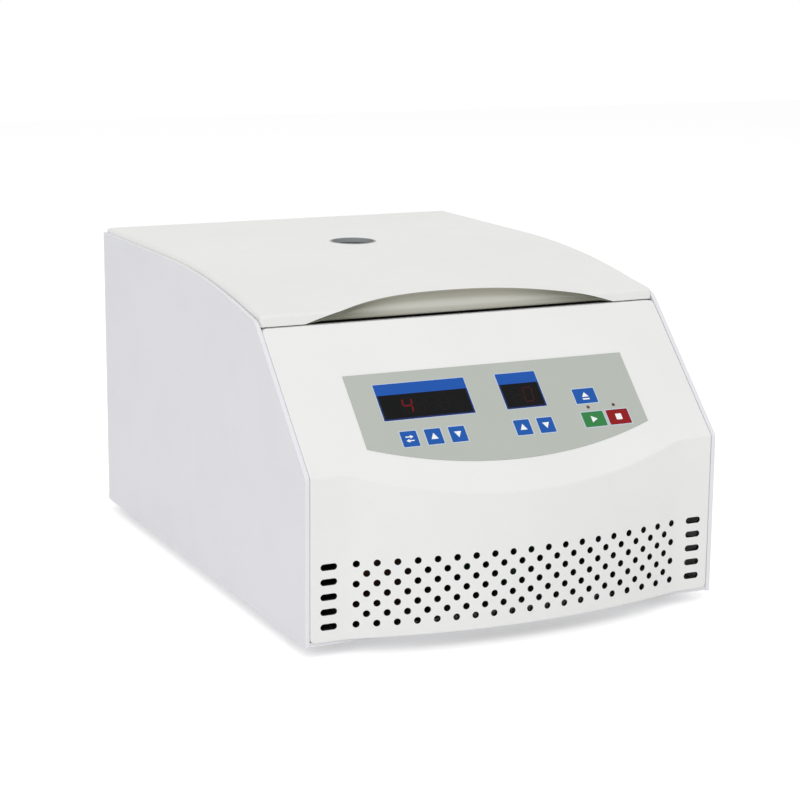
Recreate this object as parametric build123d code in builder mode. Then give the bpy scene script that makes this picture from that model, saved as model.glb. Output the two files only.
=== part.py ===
from build123d import *
import os
from math import atan2, cos, hypot, radians, sin, sqrt, tan

# Bench-top microplate centrifuge. Millimetres, +Z up, front towards -Y.
# Origin: on the floor, under the middle of the whole machine.

# ---------------------------------------------------------------- driving dimensions

# Cabinet
cabinet_width = 400.0
cabinet_depth = 536.5  # flat front plane to back wall
cabinet_height = 286.0  # bottom rim to lid top
foot_height = 12.0  # floor to bottom rim
shell_wall = 4.0
rear_corner_radius = 12.0
rim_width = 16.0  # inward rim that carries the base plate
rim_height = 4.0
base_thickness = 2.0
seam = 1.2  # open joint between neighbouring mouldings
fit = 0.3  # clearance of a piece in its seat
running = 0.05  # radial clearance of a turning pin

# Console, the moulded front of the cabinet
front_height = 145.5  # upright part, above the bottom rim
console_run = 107.0  # depth of the sloping part
console_height = 254.5  # its top edge, above the bottom rim
panel_wall = 3.0
panel_skirt = 12.0
panel_flange = 9.0  # ledge behind the console's top edge
panel_corner_radius = 5.0
bend_radius = 8.0
shoulder_radius = 14.0
smile_radius = 12.0
bulge_chord = 322.0
bulge_rise = 23.3

# Air vents in the console
vent_columns = 19
vent_rows = 7
vent_size = 5.3
vent_sides = 6
vent_pitch = 17.43
vent_row_pitch = 8.87
vent_height = 40.2  # middle row, above the bottom rim
slot_count = 5
slot_length = 14.5
slot_height = 5.0
slot_pitch = 13.15
slot_offset = 18.9  # from the cabinet's side

# Keypad and displays, in the console's own plane: across, and up from the bend
overlay_width = 277.0
overlay_top = 95.6
overlay_corner = 21.3
overlay_dip = -3.0
overlay_thickness = 0.6
key_size = 15.2
key_pitch = 22.9
key_row = 27.8
key_stand = 0.2  # how far a key stands above the overlay
key_travel = 0.4
key_flange = 1.0
wide_key = 21.8
start_key_across = 84.7
stop_key_across = 109.8
action_row = 28.8
open_key_row = 53.3
mode_key_across = -96.0
time_key_across = 13.0
lamp_row = 41.5
lamp_radius = 1.6
window_height = 24.0
window_row = 60.5
speed_window_width = 84.0
speed_window_across = -69.9
time_window_width = 36.5
time_window_across = 24.3
board_gap = 8.4  # panel's back to display board
board_thickness = 1.6

# Lid
lid_wall = 3.0
lid_curve_run = 230.0
lid_curve_drop = 25.5
lid_edge_radius = 3.0
scoop_chord = 318.0
scoop_depth = 52.5  # plan depth of the finger scoop
scoop_wall = 6.5  # how deep its back wall stands at the middle
scoop_cove = 4.0
finger_gap = 2.6  # open gap under the scoop's lip
finger_lip = 1.5
port_radius = 21.0
port_ring_wall = 2.0
port_recess = 4.0
window_thickness = 3.0
lid_opening = 75.0

# Chamber
axis_setback = 349.3  # rotor axis behind the flat front plane
deck_drop = 16.5  # deck top below the console's top edge
deck_thickness = 3.0
bowl_wall = 1.5
bowl_flange = 7.0
bowl_corner_radius = 18.0
gasket_width = 8.0
gasket_height = 4.6
guard_wall = 4.0
guard_gap = 4.0
guard_height = 112.0

# Rotor and plate carriers
plate_length = 127.8
plate_width = 85.5
plate_stack = 29.0
plate_play = 0.6
carrier_wall = 1.6
carrier_floor = 2.4
carrier_rim = 14.0  # height of its low walls
carrier_corner = 10.0
ear_thickness = 2.0
ear_width = 60.0
groove_boss = 4.5  # how far the pin's boss stands out
groove_boss_width = 20.0
trunnion_radius = 72.0  # rotor axis to carrier pin
trunnion_height = 203.0
pin_radius = 4.0
carrier_drop = 44.0  # carrier pin to carrier base
beam_thickness = 8.0
beam_height = 18.0
hub_radius = 20.0
hub_height = 36.0
shaft_radius = 6.0
bowl_clearance = 8.0  # swinging carriers to bowl

# Motor
motor_radius = 52.0
motor_height = 84.0
armature_radius = 28.0
air_gap = 0.6
bearing_radius = 16.0
bearing_height = 10.0
motor_plate_radius = 92.0
motor_plate_thickness = 6.0
damper_radius = 12.0
damper_height = 20.0
damper_circle = 76.0

# Hinge, struts and latch
knuckle_radius = 4.0
hinge_pin_radius = 2.0
knuckle_length = 20.0
hinge_spacing = 220.0
strut_across = 181.0
strut_radius = 6.5
rod_radius = 3.0
strut_lid_reach = 38.0  # lid stud in front of the hinge axis
strut_lid_rise = 14.0
strut_span = 138.0  # level distance between the strut's studs
stud_radius = 2.5
eye_radius = 5.0
latch_setback = 138.5  # striker behind the flat front plane

# ---------------------------------------------------------------- derived places

front_y = -(cabinet_depth - bulge_rise) / 2
back_y = front_y + cabinet_depth
rim_z = foot_height
top_z = rim_z + cabinet_height
bend_z = rim_z + front_height
crest_y = front_y + console_run
crest_z = rim_z + console_height
slope = atan2(crest_z - bend_z, console_run)
inner_half = cabinet_width / 2 - shell_wall
panel_half = inner_half - seam
panel_bottom = rim_z + rim_height + fit
bulge_radius = (bulge_chord**2 / 4 + bulge_rise**2) / (2 * bulge_rise)
bulge_centre_y = front_y - bulge_rise + bulge_radius
deck_z = crest_z - deck_drop
axis_y = front_y + axis_setback

lid_bottom = crest_z + seam
lid_front = crest_y + fit
lid_arc_y = crest_y + lid_curve_run
lid_arc_radius = (lid_curve_run**2 + lid_curve_drop**2) / (2 * lid_curve_drop)
hinge_y = back_y - knuckle_radius
hinge_z = lid_bottom
back_wall_top = hinge_z - knuckle_radius - 0.5

console = Plane(origin=(0, front_y, bend_z), x_dir=(1, 0, 0), z_dir=(0, -sin(slope), cos(slope)))
console_axis = Axis(console.origin, console.z_dir)


def save(piece, label):
    """Name a finished piece and write its STEP file."""
    piece.part.label = label
    export_step(piece.part, f"parts/{label}.step")


os.makedirs("parts", exist_ok=True)

# ---------------------------------------------------------------- console


def console_form(inset):
    """The console's outer form, or the same form sunk by a wall thickness."""
    face_y = front_y + inset
    half = panel_half - inset
    chord_half = sqrt((bulge_radius - inset) ** 2 - (bulge_centre_y - face_y) ** 2)
    back = crest_y + panel_flange - inset
    reach = front_y - 2 * bulge_rise
    sunk = inset / cos(slope)
    with BuildPart() as form:
        with BuildSketch(Plane.XY.offset(panel_bottom + inset)):
            with BuildLine():
                Polyline(
                    (chord_half, face_y), (half, face_y), (half, back),
                    (-half, back), (-half, face_y), (-chord_half, face_y),
                )
                ThreePointArc((-chord_half, face_y), (0, face_y - bulge_rise), (chord_half, face_y))
            make_face()
        extrude(amount=crest_z - panel_bottom - 2 * inset)
        with BuildSketch(Plane.YZ):
            Polygon(
                (reach, rim_z),
                (reach, bend_z - sunk + (reach - front_y) * tan(slope)),
                (front_y + (crest_z - inset - bend_z + sunk) / tan(slope), crest_z - inset),
                (back, crest_z - inset),
                (back, rim_z),
            )
        extrude(amount=cabinet_width / 2, both=True, mode=Mode.INTERSECT)
        foot_z = bend_z - sunk - (bulge_rise - inset) * tan(slope)
        smile = form.edges().filter_by(lambda edge: edge.length > chord_half
                                       and abs((edge @ 0.5).X) < 1 and abs((edge @ 0.5).Z - foot_z) < 1)
        fillet(smile, smile_radius - inset)
    return form.part


console_outside = console_form(0)
console_inside = console_form(panel_wall)
board_depth = panel_wall + board_gap
skirt_bend_z = bend_z + panel_skirt * (tan(slope) - 1 / cos(slope))
skirt_top_y = front_y + (deck_z + fit - bend_z + panel_skirt / cos(slope)) / tan(slope)
panel_back = crest_y + panel_flange
key_places = {
    "key_mode": (mode_key_across, key_row, key_size),
    "key_speed_up": (mode_key_across + key_pitch, key_row, key_size),
    "key_speed_down": (mode_key_across + 2 * key_pitch, key_row, key_size),
    "key_time_up": (time_key_across, key_row, key_size),
    "key_time_down": (time_key_across + key_pitch, key_row, key_size),
    "key_open": (start_key_across, open_key_row, wide_key),
    "key_start": (start_key_across, action_row, wide_key),
    "key_stop": (stop_key_across, action_row, wide_key),
}
window_places = (
    (speed_window_across, window_row, speed_window_width),
    (time_window_across, window_row, time_window_width),
)
lamp_places = ((start_key_across - 1.3, lamp_row), (stop_key_across - 0.6, lamp_row))
board_width = overlay_width - 14.0
board_height = overlay_top - 18.0
board_row = overlay_top / 2 + 4.0
boss_radius = 3.5
boss_places = [
    (side * (board_width / 2 - 6), board_row + end * (board_height / 2 - 6))
    for side in (-1, 1) for end in (-1, 1)
]

with BuildPart() as front_panel:
    add(console_outside)
    add(console_inside, mode=Mode.SUBTRACT)
    with BuildSketch(Plane.YZ):
        Polygon(
            (front_y - 2 * bulge_rise, rim_z), (front_y - 2 * bulge_rise, crest_z + 1),
            (panel_back, crest_z + 1), (panel_back, deck_z + fit), (skirt_top_y, deck_z + fit),
            (front_y + panel_skirt, skirt_bend_z), (front_y + panel_skirt, rim_z),
        )
    extrude(amount=cabinet_width / 2, both=True, mode=Mode.INTERSECT)
    bottom_corners = (
        front_panel.edges().filter_by(Axis.Y)
        .filter_by(lambda edge: abs(abs((edge @ 0.5).X) - panel_half) < 0.1)
        .group_by(Axis.Z)[0]
    )
    fillet(bottom_corners, panel_corner_radius)
    # bosses for the display board, behind the slope
    with BuildSketch(console.offset(-panel_wall)):
        with Locations(*boss_places):
            Circle(boss_radius)
    extrude(amount=fit - board_gap)
    # openings for the displays, keys and lamps
    with BuildSketch(console.offset(-panel_wall - 1)):
        for across, row, width in window_places:
            with Locations((across, row)):
                Rectangle(width + 2 * fit, window_height + 2 * fit)
        for across, row, width in key_places.values():
            with Locations((across, row)):
                Rectangle(width + 2 * fit, key_size + 2 * fit)
        with Locations(*lamp_places):
            Circle(lamp_radius + fit)
    extrude(amount=panel_wall + 2, mode=Mode.SUBTRACT)
    # staggered vents through the bowed front, slots through the flat margins
    with BuildSketch(Plane.XZ.offset(-front_y - panel_wall - 1)):
        with Locations((0, rim_z + vent_height)):
            with GridLocations(vent_pitch, 2 * vent_row_pitch, vent_columns, (vent_rows + 1) // 2):
                RegularPolygon(vent_size / 2, vent_sides, major_radius=False, rotation=30)
            with GridLocations(vent_pitch, 2 * vent_row_pitch, vent_columns - 1, vent_rows // 2):
                RegularPolygon(vent_size / 2, vent_sides, major_radius=False, rotation=30)
            with GridLocations(cabinet_width - 2 * slot_offset, slot_pitch, 2, slot_count):
                SlotOverall(slot_length, slot_height)
    extrude(amount=bulge_rise + panel_wall + 2, mode=Mode.SUBTRACT)
save(front_panel, "front_panel")

overlay_arc_radius = (overlay_width**2 / 4 + (overlay_corner - overlay_dip) ** 2) / (
    2 * (overlay_corner - overlay_dip)
)
with BuildPart() as keypad_overlay:
    with BuildSketch(console):
        with BuildLine():
            Polyline(
                (-overlay_width / 2, overlay_corner), (-overlay_width / 2, overlay_top),
                (overlay_width / 2, overlay_top), (overlay_width / 2, overlay_corner),
            )
            ThreePointArc(
                (overlay_width / 2, overlay_corner), (0, overlay_dip), (-overlay_width / 2, overlay_corner)
            )
        make_face()
        for across, row, width in window_places:
            with Locations((across, row)):
                Rectangle(width + 2 * fit, window_height + 2 * fit, mode=Mode.SUBTRACT)
        for across, row, width in key_places.values():
            with Locations((across, row)):
                Rectangle(width + 2 * fit, key_size + 2 * fit, mode=Mode.SUBTRACT)
        with Locations(*lamp_places):
            Circle(lamp_radius + fit, mode=Mode.SUBTRACT)
    extrude(amount=overlay_thickness)
save(keypad_overlay, "keypad_overlay")

with BuildPart() as display_windows:
    with BuildSketch(console.offset(-panel_wall)):
        for across, row, width in window_places:
            with Locations((across, row)):
                Rectangle(width, window_height)
    extrude(amount=panel_wall + overlay_thickness / 2)
save(display_windows, "display_windows")

for label, (across, row, width) in key_places.items():
    with BuildPart() as key:
        with BuildSketch(console.offset(-panel_wall - fit - key_flange)):
            with Locations((across, row)):
                Rectangle(width + 2, key_size + 2)
        extrude(amount=key_flange)
        with BuildSketch(console.offset(-panel_wall - fit)):
            with Locations((across, row)):
                Rectangle(width, key_size)
        extrude(amount=panel_wall + fit + overlay_thickness + key_stand)
        chamfer(key.faces().sort_by(console_axis)[-1].edges(), key_stand)
    save(key, label)

with BuildPart() as indicator_lenses:
    with BuildSketch(console.offset(fit - board_depth)):
        with Locations(*lamp_places):
            Circle(lamp_radius)
    extrude(amount=board_depth - fit + overlay_thickness)
save(indicator_lenses, "indicator_lenses")

switch_size = 6.0
with BuildPart() as display_board:
    with BuildSketch(console.offset(-board_depth - board_thickness)):
        with Locations((0, board_row)):
            Rectangle(board_width, board_height)
    extrude(amount=board_thickness)
    with BuildSketch(console.offset(-board_depth)):
        for across, row, width in key_places.values():
            with Locations((across, row)):
                Rectangle(switch_size, switch_size)
    extrude(amount=board_gap - 2 * fit - key_flange - key_travel)
    # digit modules behind the windows
    with BuildSketch(console.offset(-board_depth)):
        for across, row, width in window_places:
            with Locations((across, row)):
                Rectangle(width, window_height)
    extrude(amount=board_gap - fit)
save(display_board, "display_board")

# ---------------------------------------------------------------- cabinet


def lid_curve_z(y, inset=0):
    """Height of the lid's curved top, or of its underside, at a depth."""
    reach = min(y - lid_arc_y, 0)
    return top_z - lid_arc_radius + sqrt((lid_arc_radius - inset) ** 2 - reach**2)


# where the slope, carried on upwards, meets the lid's curve
climb = tan(slope)
line_z = crest_z - crest_y * climb - (top_z - lid_arc_radius)
half_b = line_z * climb - lid_arc_y
end_c = lid_arc_y**2 + line_z**2 - lid_arc_radius**2
shoulder_y = (sqrt(half_b**2 - (1 + climb**2) * end_c) - half_b) / (1 + climb**2)
shoulder_z = lid_curve_z(shoulder_y)
mid_y = (shoulder_y + lid_arc_y) / 2
panel_open_width = 2 * inner_half - 90.0
panel_open_height = 118.0
panel_open_z = rim_z + 90.0
rear_panel_overlap = 10.0
ledge_depth = 8.0
ledge_height = 6.0
with BuildPart() as cabinet_shell:
    with BuildSketch(Plane.YZ):
        with BuildLine():
            Polyline(
                (shoulder_y, shoulder_z), (front_y, bend_z), (front_y, rim_z),
                (back_y, rim_z), (back_y, top_z), (lid_arc_y, top_z),
            )
            ThreePointArc((lid_arc_y, top_z), (mid_y, lid_curve_z(mid_y)), (shoulder_y, shoulder_z))
        make_face()
    extrude(amount=cabinet_width / 2, both=True)
    cross_edges = cabinet_shell.edges().filter_by(Axis.X).sort_by(Axis.Y)
    fillet(cross_edges.filter_by(lambda edge: abs((edge @ 0.5).Z - bend_z) < 1), bend_radius)
    fillet(cross_edges.filter_by(lambda edge: abs((edge @ 0.5).Z - shoulder_z) < 1), shoulder_radius)
    fillet(cabinet_shell.edges().filter_by(Axis.Z).group_by(Axis.Y)[-1], rear_corner_radius)
    # hollow between the side walls, open at the front, the top and the bottom
    inner_back = back_y - shell_wall
    inner_front = front_y - 1
    with BuildSketch(Plane.XY.offset(rim_z - 1)) as hollow:
        with Locations((0, (inner_front + inner_back) / 2)):
            Rectangle(2 * inner_half, inner_back - inner_front)
        fillet(hollow.vertices().group_by(Axis.Y)[-1], rear_corner_radius - shell_wall)
    extrude(amount=cabinet_height + 2, mode=Mode.SUBTRACT)
    # rim round the bottom
    rim_middle = (front_y + back_y) / 2
    with BuildSketch(Plane.XY.offset(rim_z)):
        with Locations((0, rim_middle)):
            Rectangle(2 * inner_half + shell_wall, cabinet_depth - shell_wall)
            Rectangle(2 * (inner_half - rim_width), cabinet_depth - 2 * rim_width, mode=Mode.SUBTRACT)
    extrude(amount=rim_height)
    # ledges that carry the deck
    with BuildSketch(Plane.XY.offset(deck_z - deck_thickness - ledge_height)):
        for side in (-1, 1):
            with Locations((side * (inner_half + 1 - ledge_depth / 2), (crest_y + inner_back) / 2)):
                Rectangle(ledge_depth + 2, inner_back - crest_y - 40.0)
    extrude(amount=ledge_height)
    # room for the lid at the back, and the opening for the rear panel
    with BuildSketch(Plane.XY.offset(back_wall_top)):
        with Locations((0, back_y)):
            Rectangle(2 * inner_half, 4 * shell_wall)
            Rectangle(cabinet_width, rear_corner_radius)
    extrude(amount=cabinet_height, mode=Mode.SUBTRACT)
    with BuildSketch(Plane.XZ.offset(-back_y - 1)):
        with Locations((0, panel_open_z)):
            RectangleRounded(panel_open_width, panel_open_height, 6.0)
    extrude(amount=2 * shell_wall, mode=Mode.SUBTRACT)
save(cabinet_shell, "cabinet_shell")

floor_z = rim_z + rim_height
plate_top = floor_z + base_thickness
plate_front = front_y + panel_skirt + fit
plate_back = inner_back - fit
foot_inset = 50.0
foot_radius = 17.0
post_radius = 7.0
bowl_hole_radius = 30.0

# carriers set the size of the chamber
carrier_half_width = plate_width / 2 + plate_play + carrier_wall
carrier_half_length = plate_length / 2 + plate_play + ear_thickness
carrier_sweep = hypot(carrier_half_width, carrier_drop)
corner_reach = (
    hypot(trunnion_radius + carrier_sweep - carrier_corner, carrier_half_length - carrier_corner) + carrier_corner
)
bowl_radius = corner_reach + bowl_clearance
bowl_floor = trunnion_height - carrier_sweep - bowl_clearance
motor_plate_top = bowl_floor - bowl_wall - 8.0
motor_plate_z = motor_plate_top - motor_plate_thickness
motor_foot = motor_plate_z - motor_height
guard_inner = bowl_radius + bowl_wall + guard_gap
guard_outer = guard_inner + guard_wall
guard_top = deck_z - deck_thickness - 1.0
gasket_foot = deck_z + bowl_wall
liner_z = gasket_foot + gasket_height + fit

rotor_section = Plane(origin=(0, axis_y, 0), x_dir=(1, 0, 0), z_dir=(0, -1, 0))
rotor_axis = Axis((0, axis_y, 0), (0, 0, 1))


def around_rotor(height):
    """A level plane with its origin on the rotor axis."""
    return Plane(origin=(0, axis_y, height))


foot_x = inner_half - rim_width - foot_radius - 8.0
foot_places = [(side * foot_x, y) for side in (-1, 1) for y in (front_y + foot_inset, back_y - foot_inset)]
damper_places = [
    (damper_circle * cos(radians(90 + 120 * turn)), damper_circle * sin(radians(90 + 120 * turn)))
    for turn in range(3)
]

with BuildPart() as base_plate:
    with BuildSketch(Plane.XY.offset(floor_z)) as outline:
        with Locations((0, (plate_front + plate_back) / 2)):
            Rectangle(2 * (inner_half - fit), plate_back - plate_front)
        fillet(outline.vertices().group_by(Axis.Y)[-1], rear_corner_radius - shell_wall)
        # cooling slots under the motor
        with Locations((0, axis_y)):
            with GridLocations(24.0, 1.0, 5, 1):
                Rectangle(8.0, 70.0, mode=Mode.SUBTRACT)
    extrude(amount=base_thickness)
    with BuildSketch(around_rotor(plate_top)):
        with Locations(*damper_places):
            Circle(post_radius)
    extrude(amount=motor_plate_z - damper_height - plate_top)
save(base_plate, "base_plate")

with BuildPart() as feet:
    for x, y in foot_places:
        with BuildSketch(Plane(origin=(x, y, 0), x_dir=(1, 0, 0), z_dir=(0, -1, 0))):
            Polygon(
                (0, 0), (foot_radius - 4, 0), (foot_radius, floor_z / 2), (foot_radius, floor_z), (0, floor_z),
            )
        revolve(axis=Axis((x, y, 0), (0, 0, 1)))
save(feet, "feet")

deck_front = panel_back - 2 * panel_wall
latch_y = front_y + latch_setback
latch_slot_width = 34.0
latch_slot_length = 30.0
with BuildPart() as chamber_deck:
    with BuildSketch(Plane.XY.offset(deck_z - deck_thickness)) as outline:
        with Locations((0, (deck_front + plate_back) / 2)):
            Rectangle(2 * (inner_half - fit), plate_back - deck_front)
        fillet(outline.vertices().group_by(Axis.Y)[-1], rear_corner_radius - shell_wall)
        with Locations((0, axis_y)):
            Circle(bowl_radius + bowl_wall + 2.0, mode=Mode.SUBTRACT)
        with Locations((0, latch_y + 4.0)):
            RectangleRounded(latch_slot_width, latch_slot_length, 3.0, mode=Mode.SUBTRACT)
    extrude(amount=deck_thickness)
save(chamber_deck, "chamber_deck")

with BuildPart() as chamber_bowl:
    with BuildSketch(rotor_section) as section:
        Polygon(
            (bowl_hole_radius, bowl_floor - bowl_wall), (bowl_radius + bowl_wall, bowl_floor - bowl_wall),
            (bowl_radius + bowl_wall, deck_z), (bowl_radius + bowl_flange, deck_z),
            (bowl_radius + bowl_flange, gasket_foot), (bowl_radius, gasket_foot),
            (bowl_radius, bowl_floor), (bowl_hole_radius, bowl_floor),
        )
        corner = section.vertices().sort_by_distance((bowl_radius, axis_y, bowl_floor))[0]
        fillet(corner, bowl_corner_radius)
        corner = section.vertices().sort_by_distance((bowl_radius + bowl_wall, axis_y, bowl_floor - bowl_wall))[0]
        fillet(corner, bowl_corner_radius + bowl_wall)
    revolve(axis=rotor_axis)
save(chamber_bowl, "chamber_bowl")

with BuildPart() as chamber_gasket:
    with BuildSketch(rotor_section) as section:
        with Locations((bowl_radius + bowl_flange - gasket_width / 2, gasket_foot + gasket_height / 2)):
            Rectangle(gasket_width, gasket_height)
        chamfer(section.vertices().group_by(Axis.Z)[-1], 1.5)
    revolve(axis=rotor_axis)
save(chamber_gasket, "chamber_gasket")

leg_width = 30.0
with BuildPart() as guard_ring:
    with BuildSketch(around_rotor(guard_top - guard_height)):
        Circle(guard_outer)
        Circle(guard_inner, mode=Mode.SUBTRACT)
    extrude(amount=guard_height)
    # four welded legs stand on the base plate
    with BuildSketch(around_rotor(plate_top)):
        with PolarLocations(guard_outer, 4, start_angle=45):
            Rectangle(guard_wall, leg_width)
    extrude(amount=guard_top - guard_height - plate_top + leg_width)
    with BuildSketch(around_rotor(plate_top)):
        with PolarLocations(guard_outer - leg_width / 4, 4, start_angle=45):
            Rectangle(leg_width / 2, leg_width)
    extrude(amount=guard_wall)
save(guard_ring, "guard_ring")

# ---------------------------------------------------------------- motor

with BuildPart() as motor_plate:
    with BuildSketch(around_rotor(motor_plate_z)):
        Circle(motor_plate_radius)
        Circle(bearing_radius + 4, mode=Mode.SUBTRACT)
        with PolarLocations(motor_plate_radius - 6, 3, start_angle=30):
            Circle(30.0, mode=Mode.SUBTRACT)
    extrude(amount=motor_plate_thickness)
save(motor_plate, "motor_plate")

with BuildPart() as motor_dampers:
    for x, y in damper_places:
        with BuildSketch(Plane(origin=(x, axis_y + y, 0), x_dir=(1, 0, 0), z_dir=(0, -1, 0))):
            Polygon(
                (0, motor_plate_z - damper_height), (damper_radius, motor_plate_z - damper_height),
                (damper_radius - 3, motor_plate_z - damper_height / 2), (damper_radius, motor_plate_z),
                (0, motor_plate_z),
            )
        revolve(axis=Axis((x, axis_y + y, 0), (0, 0, 1)))
save(motor_dampers, "motor_dampers")

core_low = motor_foot + bearing_height + 6.0
core_high = motor_plate_z - bearing_height - 6.0
with BuildPart() as motor_housing:
    with BuildSketch(rotor_section):
        Polygon(
            (bearing_radius, motor_foot), (motor_radius - 6, motor_foot), (motor_radius, motor_foot + 6),
            (motor_radius, motor_plate_z), (bearing_radius, motor_plate_z),
            (bearing_radius, motor_plate_z - bearing_height),
            (armature_radius + air_gap, motor_plate_z - bearing_height),
            (armature_radius + air_gap, motor_foot + bearing_height),
            (bearing_radius, motor_foot + bearing_height),
        )
    revolve(axis=rotor_axis)
    # cooling grooves round the casing
    with BuildSketch(rotor_section):
        with Locations((motor_radius, (motor_foot + motor_plate_z) / 2)):
            with GridLocations(1.0, 20.0, 1, 3):
                Rectangle(6.0, 8.0)
    revolve(axis=rotor_axis, mode=Mode.SUBTRACT)
save(motor_housing, "motor_housing")

with BuildPart() as motor_bearings:
    with BuildSketch(around_rotor(motor_foot)):
        Circle(bearing_radius)
        Circle(shaft_radius + running, mode=Mode.SUBTRACT)
    extrude(amount=bearing_height)
    with BuildSketch(around_rotor(motor_plate_z - bearing_height)):
        Circle(bearing_radius)
        Circle(shaft_radius + running, mode=Mode.SUBTRACT)
    extrude(amount=bearing_height)
save(motor_bearings, "motor_bearings")

hub_low = trunnion_height - hub_height / 2
hub_high = trunnion_height + hub_height / 2
nut_height = 12.0
with BuildPart() as motor_shaft:
    with BuildSketch(rotor_section):
        Polygon(
            (0, motor_foot + 1), (shaft_radius, motor_foot + 1), (shaft_radius, core_low),
            (armature_radius, core_low), (armature_radius, core_high), (shaft_radius, core_high),
            (shaft_radius, hub_high + nut_height - 3), (0, hub_high + nut_height - 3),
        )
    revolve(axis=rotor_axis)
save(motor_shaft, "motor_shaft")

with BuildPart() as shaft_boot:
    with BuildSketch(rotor_section):
        boot_radius = bowl_hole_radius + 8.0
        Polygon(
            (shaft_radius + 1.5, motor_plate_top), (boot_radius, motor_plate_top),
            (boot_radius, bowl_floor - bowl_wall), (boot_radius - 4, bowl_floor - bowl_wall),
            (boot_radius - 4, motor_plate_top + 3), (shaft_radius + 4, motor_plate_top + 3),
            (shaft_radius + 4, bowl_floor - 1), (shaft_radius + 1.5, bowl_floor - 1),
        )
    revolve(axis=rotor_axis)
save(shaft_boot, "shaft_boot")

# ---------------------------------------------------------------- rotor and carriers

beam_inner = carrier_half_length + groove_boss + 0.8
beam_outer = beam_inner + beam_thickness
beam_reach = trunnion_radius + beam_height / 2 + 2.0
across_rotor = Plane(origin=(0, axis_y, trunnion_height), x_dir=(1, 0, 0), z_dir=(0, -1, 0))
with BuildPart() as rotor_yoke:
    with BuildSketch(around_rotor(hub_low)):
        Circle(hub_radius)
    extrude(amount=hub_height)
    chamfer(rotor_yoke.edges().group_by(Axis.Z)[-1], 3.0)
    # web across the hub, thinner than the hub is tall
    with BuildSketch(around_rotor(trunnion_height - beam_height / 2)):
        Rectangle(22.0, beam_inner + beam_outer)
    extrude(amount=beam_height)
    # side beams carry the pins
    for side in (-1, 1):
        middle = side * (beam_inner + beam_outer) / 2
        with BuildSketch(across_rotor.offset(middle)):
            SlotOverall(2 * beam_reach, beam_height)
            with Locations((-trunnion_radius, 0), (trunnion_radius, 0)):
                Circle(pin_radius + running, mode=Mode.SUBTRACT)
        extrude(amount=beam_thickness / 2, both=True)
    with BuildSketch(around_rotor(hub_low - 1)):
        Circle(shaft_radius + running)
    extrude(amount=hub_height + 2, mode=Mode.SUBTRACT)
save(rotor_yoke, "rotor_yoke")

with BuildPart() as trunnion_pins:
    for side in (-1, 1):
        start = side * (carrier_half_length + fit)
        with BuildSketch(across_rotor.offset(start)):
            with Locations((-trunnion_radius, 0), (trunnion_radius, 0)):
                Circle(pin_radius)
        extrude(amount=side * (beam_outer - carrier_half_length - fit))
save(trunnion_pins, "trunnion_pins")

with BuildPart() as rotor_nut:
    with BuildSketch(around_rotor(hub_high)):
        RegularPolygon(hub_radius * 0.6, 6)
        Circle(shaft_radius + running, mode=Mode.SUBTRACT)
    extrude(amount=nut_height - 4)
    with BuildSketch(around_rotor(hub_high + nut_height - 4)):
        Circle(hub_radius * 0.5)
        Circle(shaft_radius + running, mode=Mode.SUBTRACT)
    extrude(amount=2)
save(rotor_nut, "rotor_nut")

for label, side in (("plate_carrier_left", -1), ("plate_carrier_right", 1)):
    middle_x = side * trunnion_radius
    level = Plane(origin=(middle_x, axis_y, trunnion_height))
    upright = Plane(origin=(middle_x, axis_y, trunnion_height), x_dir=(1, 0, 0), z_dir=(0, -1, 0))
    with BuildPart() as carrier:
        with BuildSketch(level.offset(-carrier_drop)):
            RectangleRounded(2 * carrier_half_width, 2 * carrier_half_length, carrier_corner)
        extrude(amount=carrier_rim)
        # raised ends that hang on the pins
        with BuildSketch(upright) as ear:
            Polygon(
                (-ear_width / 2, carrier_rim - carrier_drop - 1), (ear_width / 2, carrier_rim - carrier_drop - 1),
                (groove_boss_width / 2, -groove_boss_width / 2), (groove_boss_width / 2, pin_radius + 4),
                (-groove_boss_width / 2, pin_radius + 4), (-groove_boss_width / 2, -groove_boss_width / 2),
            )
            fillet(ear.vertices().group_by(Axis.Z)[-1], 6.0)
        extrude(amount=carrier_half_length, both=True)
        # pocket for the plates, open at the top
        with BuildSketch(level.offset(carrier_floor - carrier_drop)):
            Rectangle(2 * (carrier_half_width - carrier_wall), 2 * (carrier_half_length - ear_thickness))
        extrude(amount=2 * carrier_drop, mode=Mode.SUBTRACT)
        # bosses with a groove that opens downwards, so the carrier lifts off its pins
        for end in (-1, 1):
            with BuildSketch(upright.offset(end * (carrier_half_length - 1))) as boss:
                with Locations((0, (pin_radius + 4 - groove_boss_width / 2) / 2)):
                    Rectangle(groove_boss_width, groove_boss_width / 2 + pin_radius + 4)
                fillet(boss.vertices().group_by(Axis.Z)[-1], 6.0)
            extrude(amount=end * (groove_boss + 1))
            with BuildSketch(upright.offset(end * carrier_half_length)):
                Circle(pin_radius + running)
                with Locations((0, -groove_boss_width / 2)):
                    Rectangle(2 * (pin_radius + running), groove_boss_width)
            extrude(amount=end * (groove_boss + 1), mode=Mode.SUBTRACT)
        # windows in the floor
        with BuildSketch(level.offset(-carrier_drop)):
            with GridLocations(plate_width / 2, plate_length / 3, 2, 3):
                Rectangle(plate_width / 2 - 12, plate_length / 3 - 12)
        extrude(amount=carrier_floor, mode=Mode.SUBTRACT)
    save(carrier, label)

# ---------------------------------------------------------------- lid

scoop_apex_y = crest_y + scoop_depth
scoop_radius = (scoop_chord**2 / 4 + scoop_depth**2) / (2 * scoop_depth)
scoop_floor_back = lid_curve_z(scoop_apex_y) - scoop_wall
scoop_floor_front = crest_z + finger_gap + finger_lip
lid_half = inner_half - seam


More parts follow.
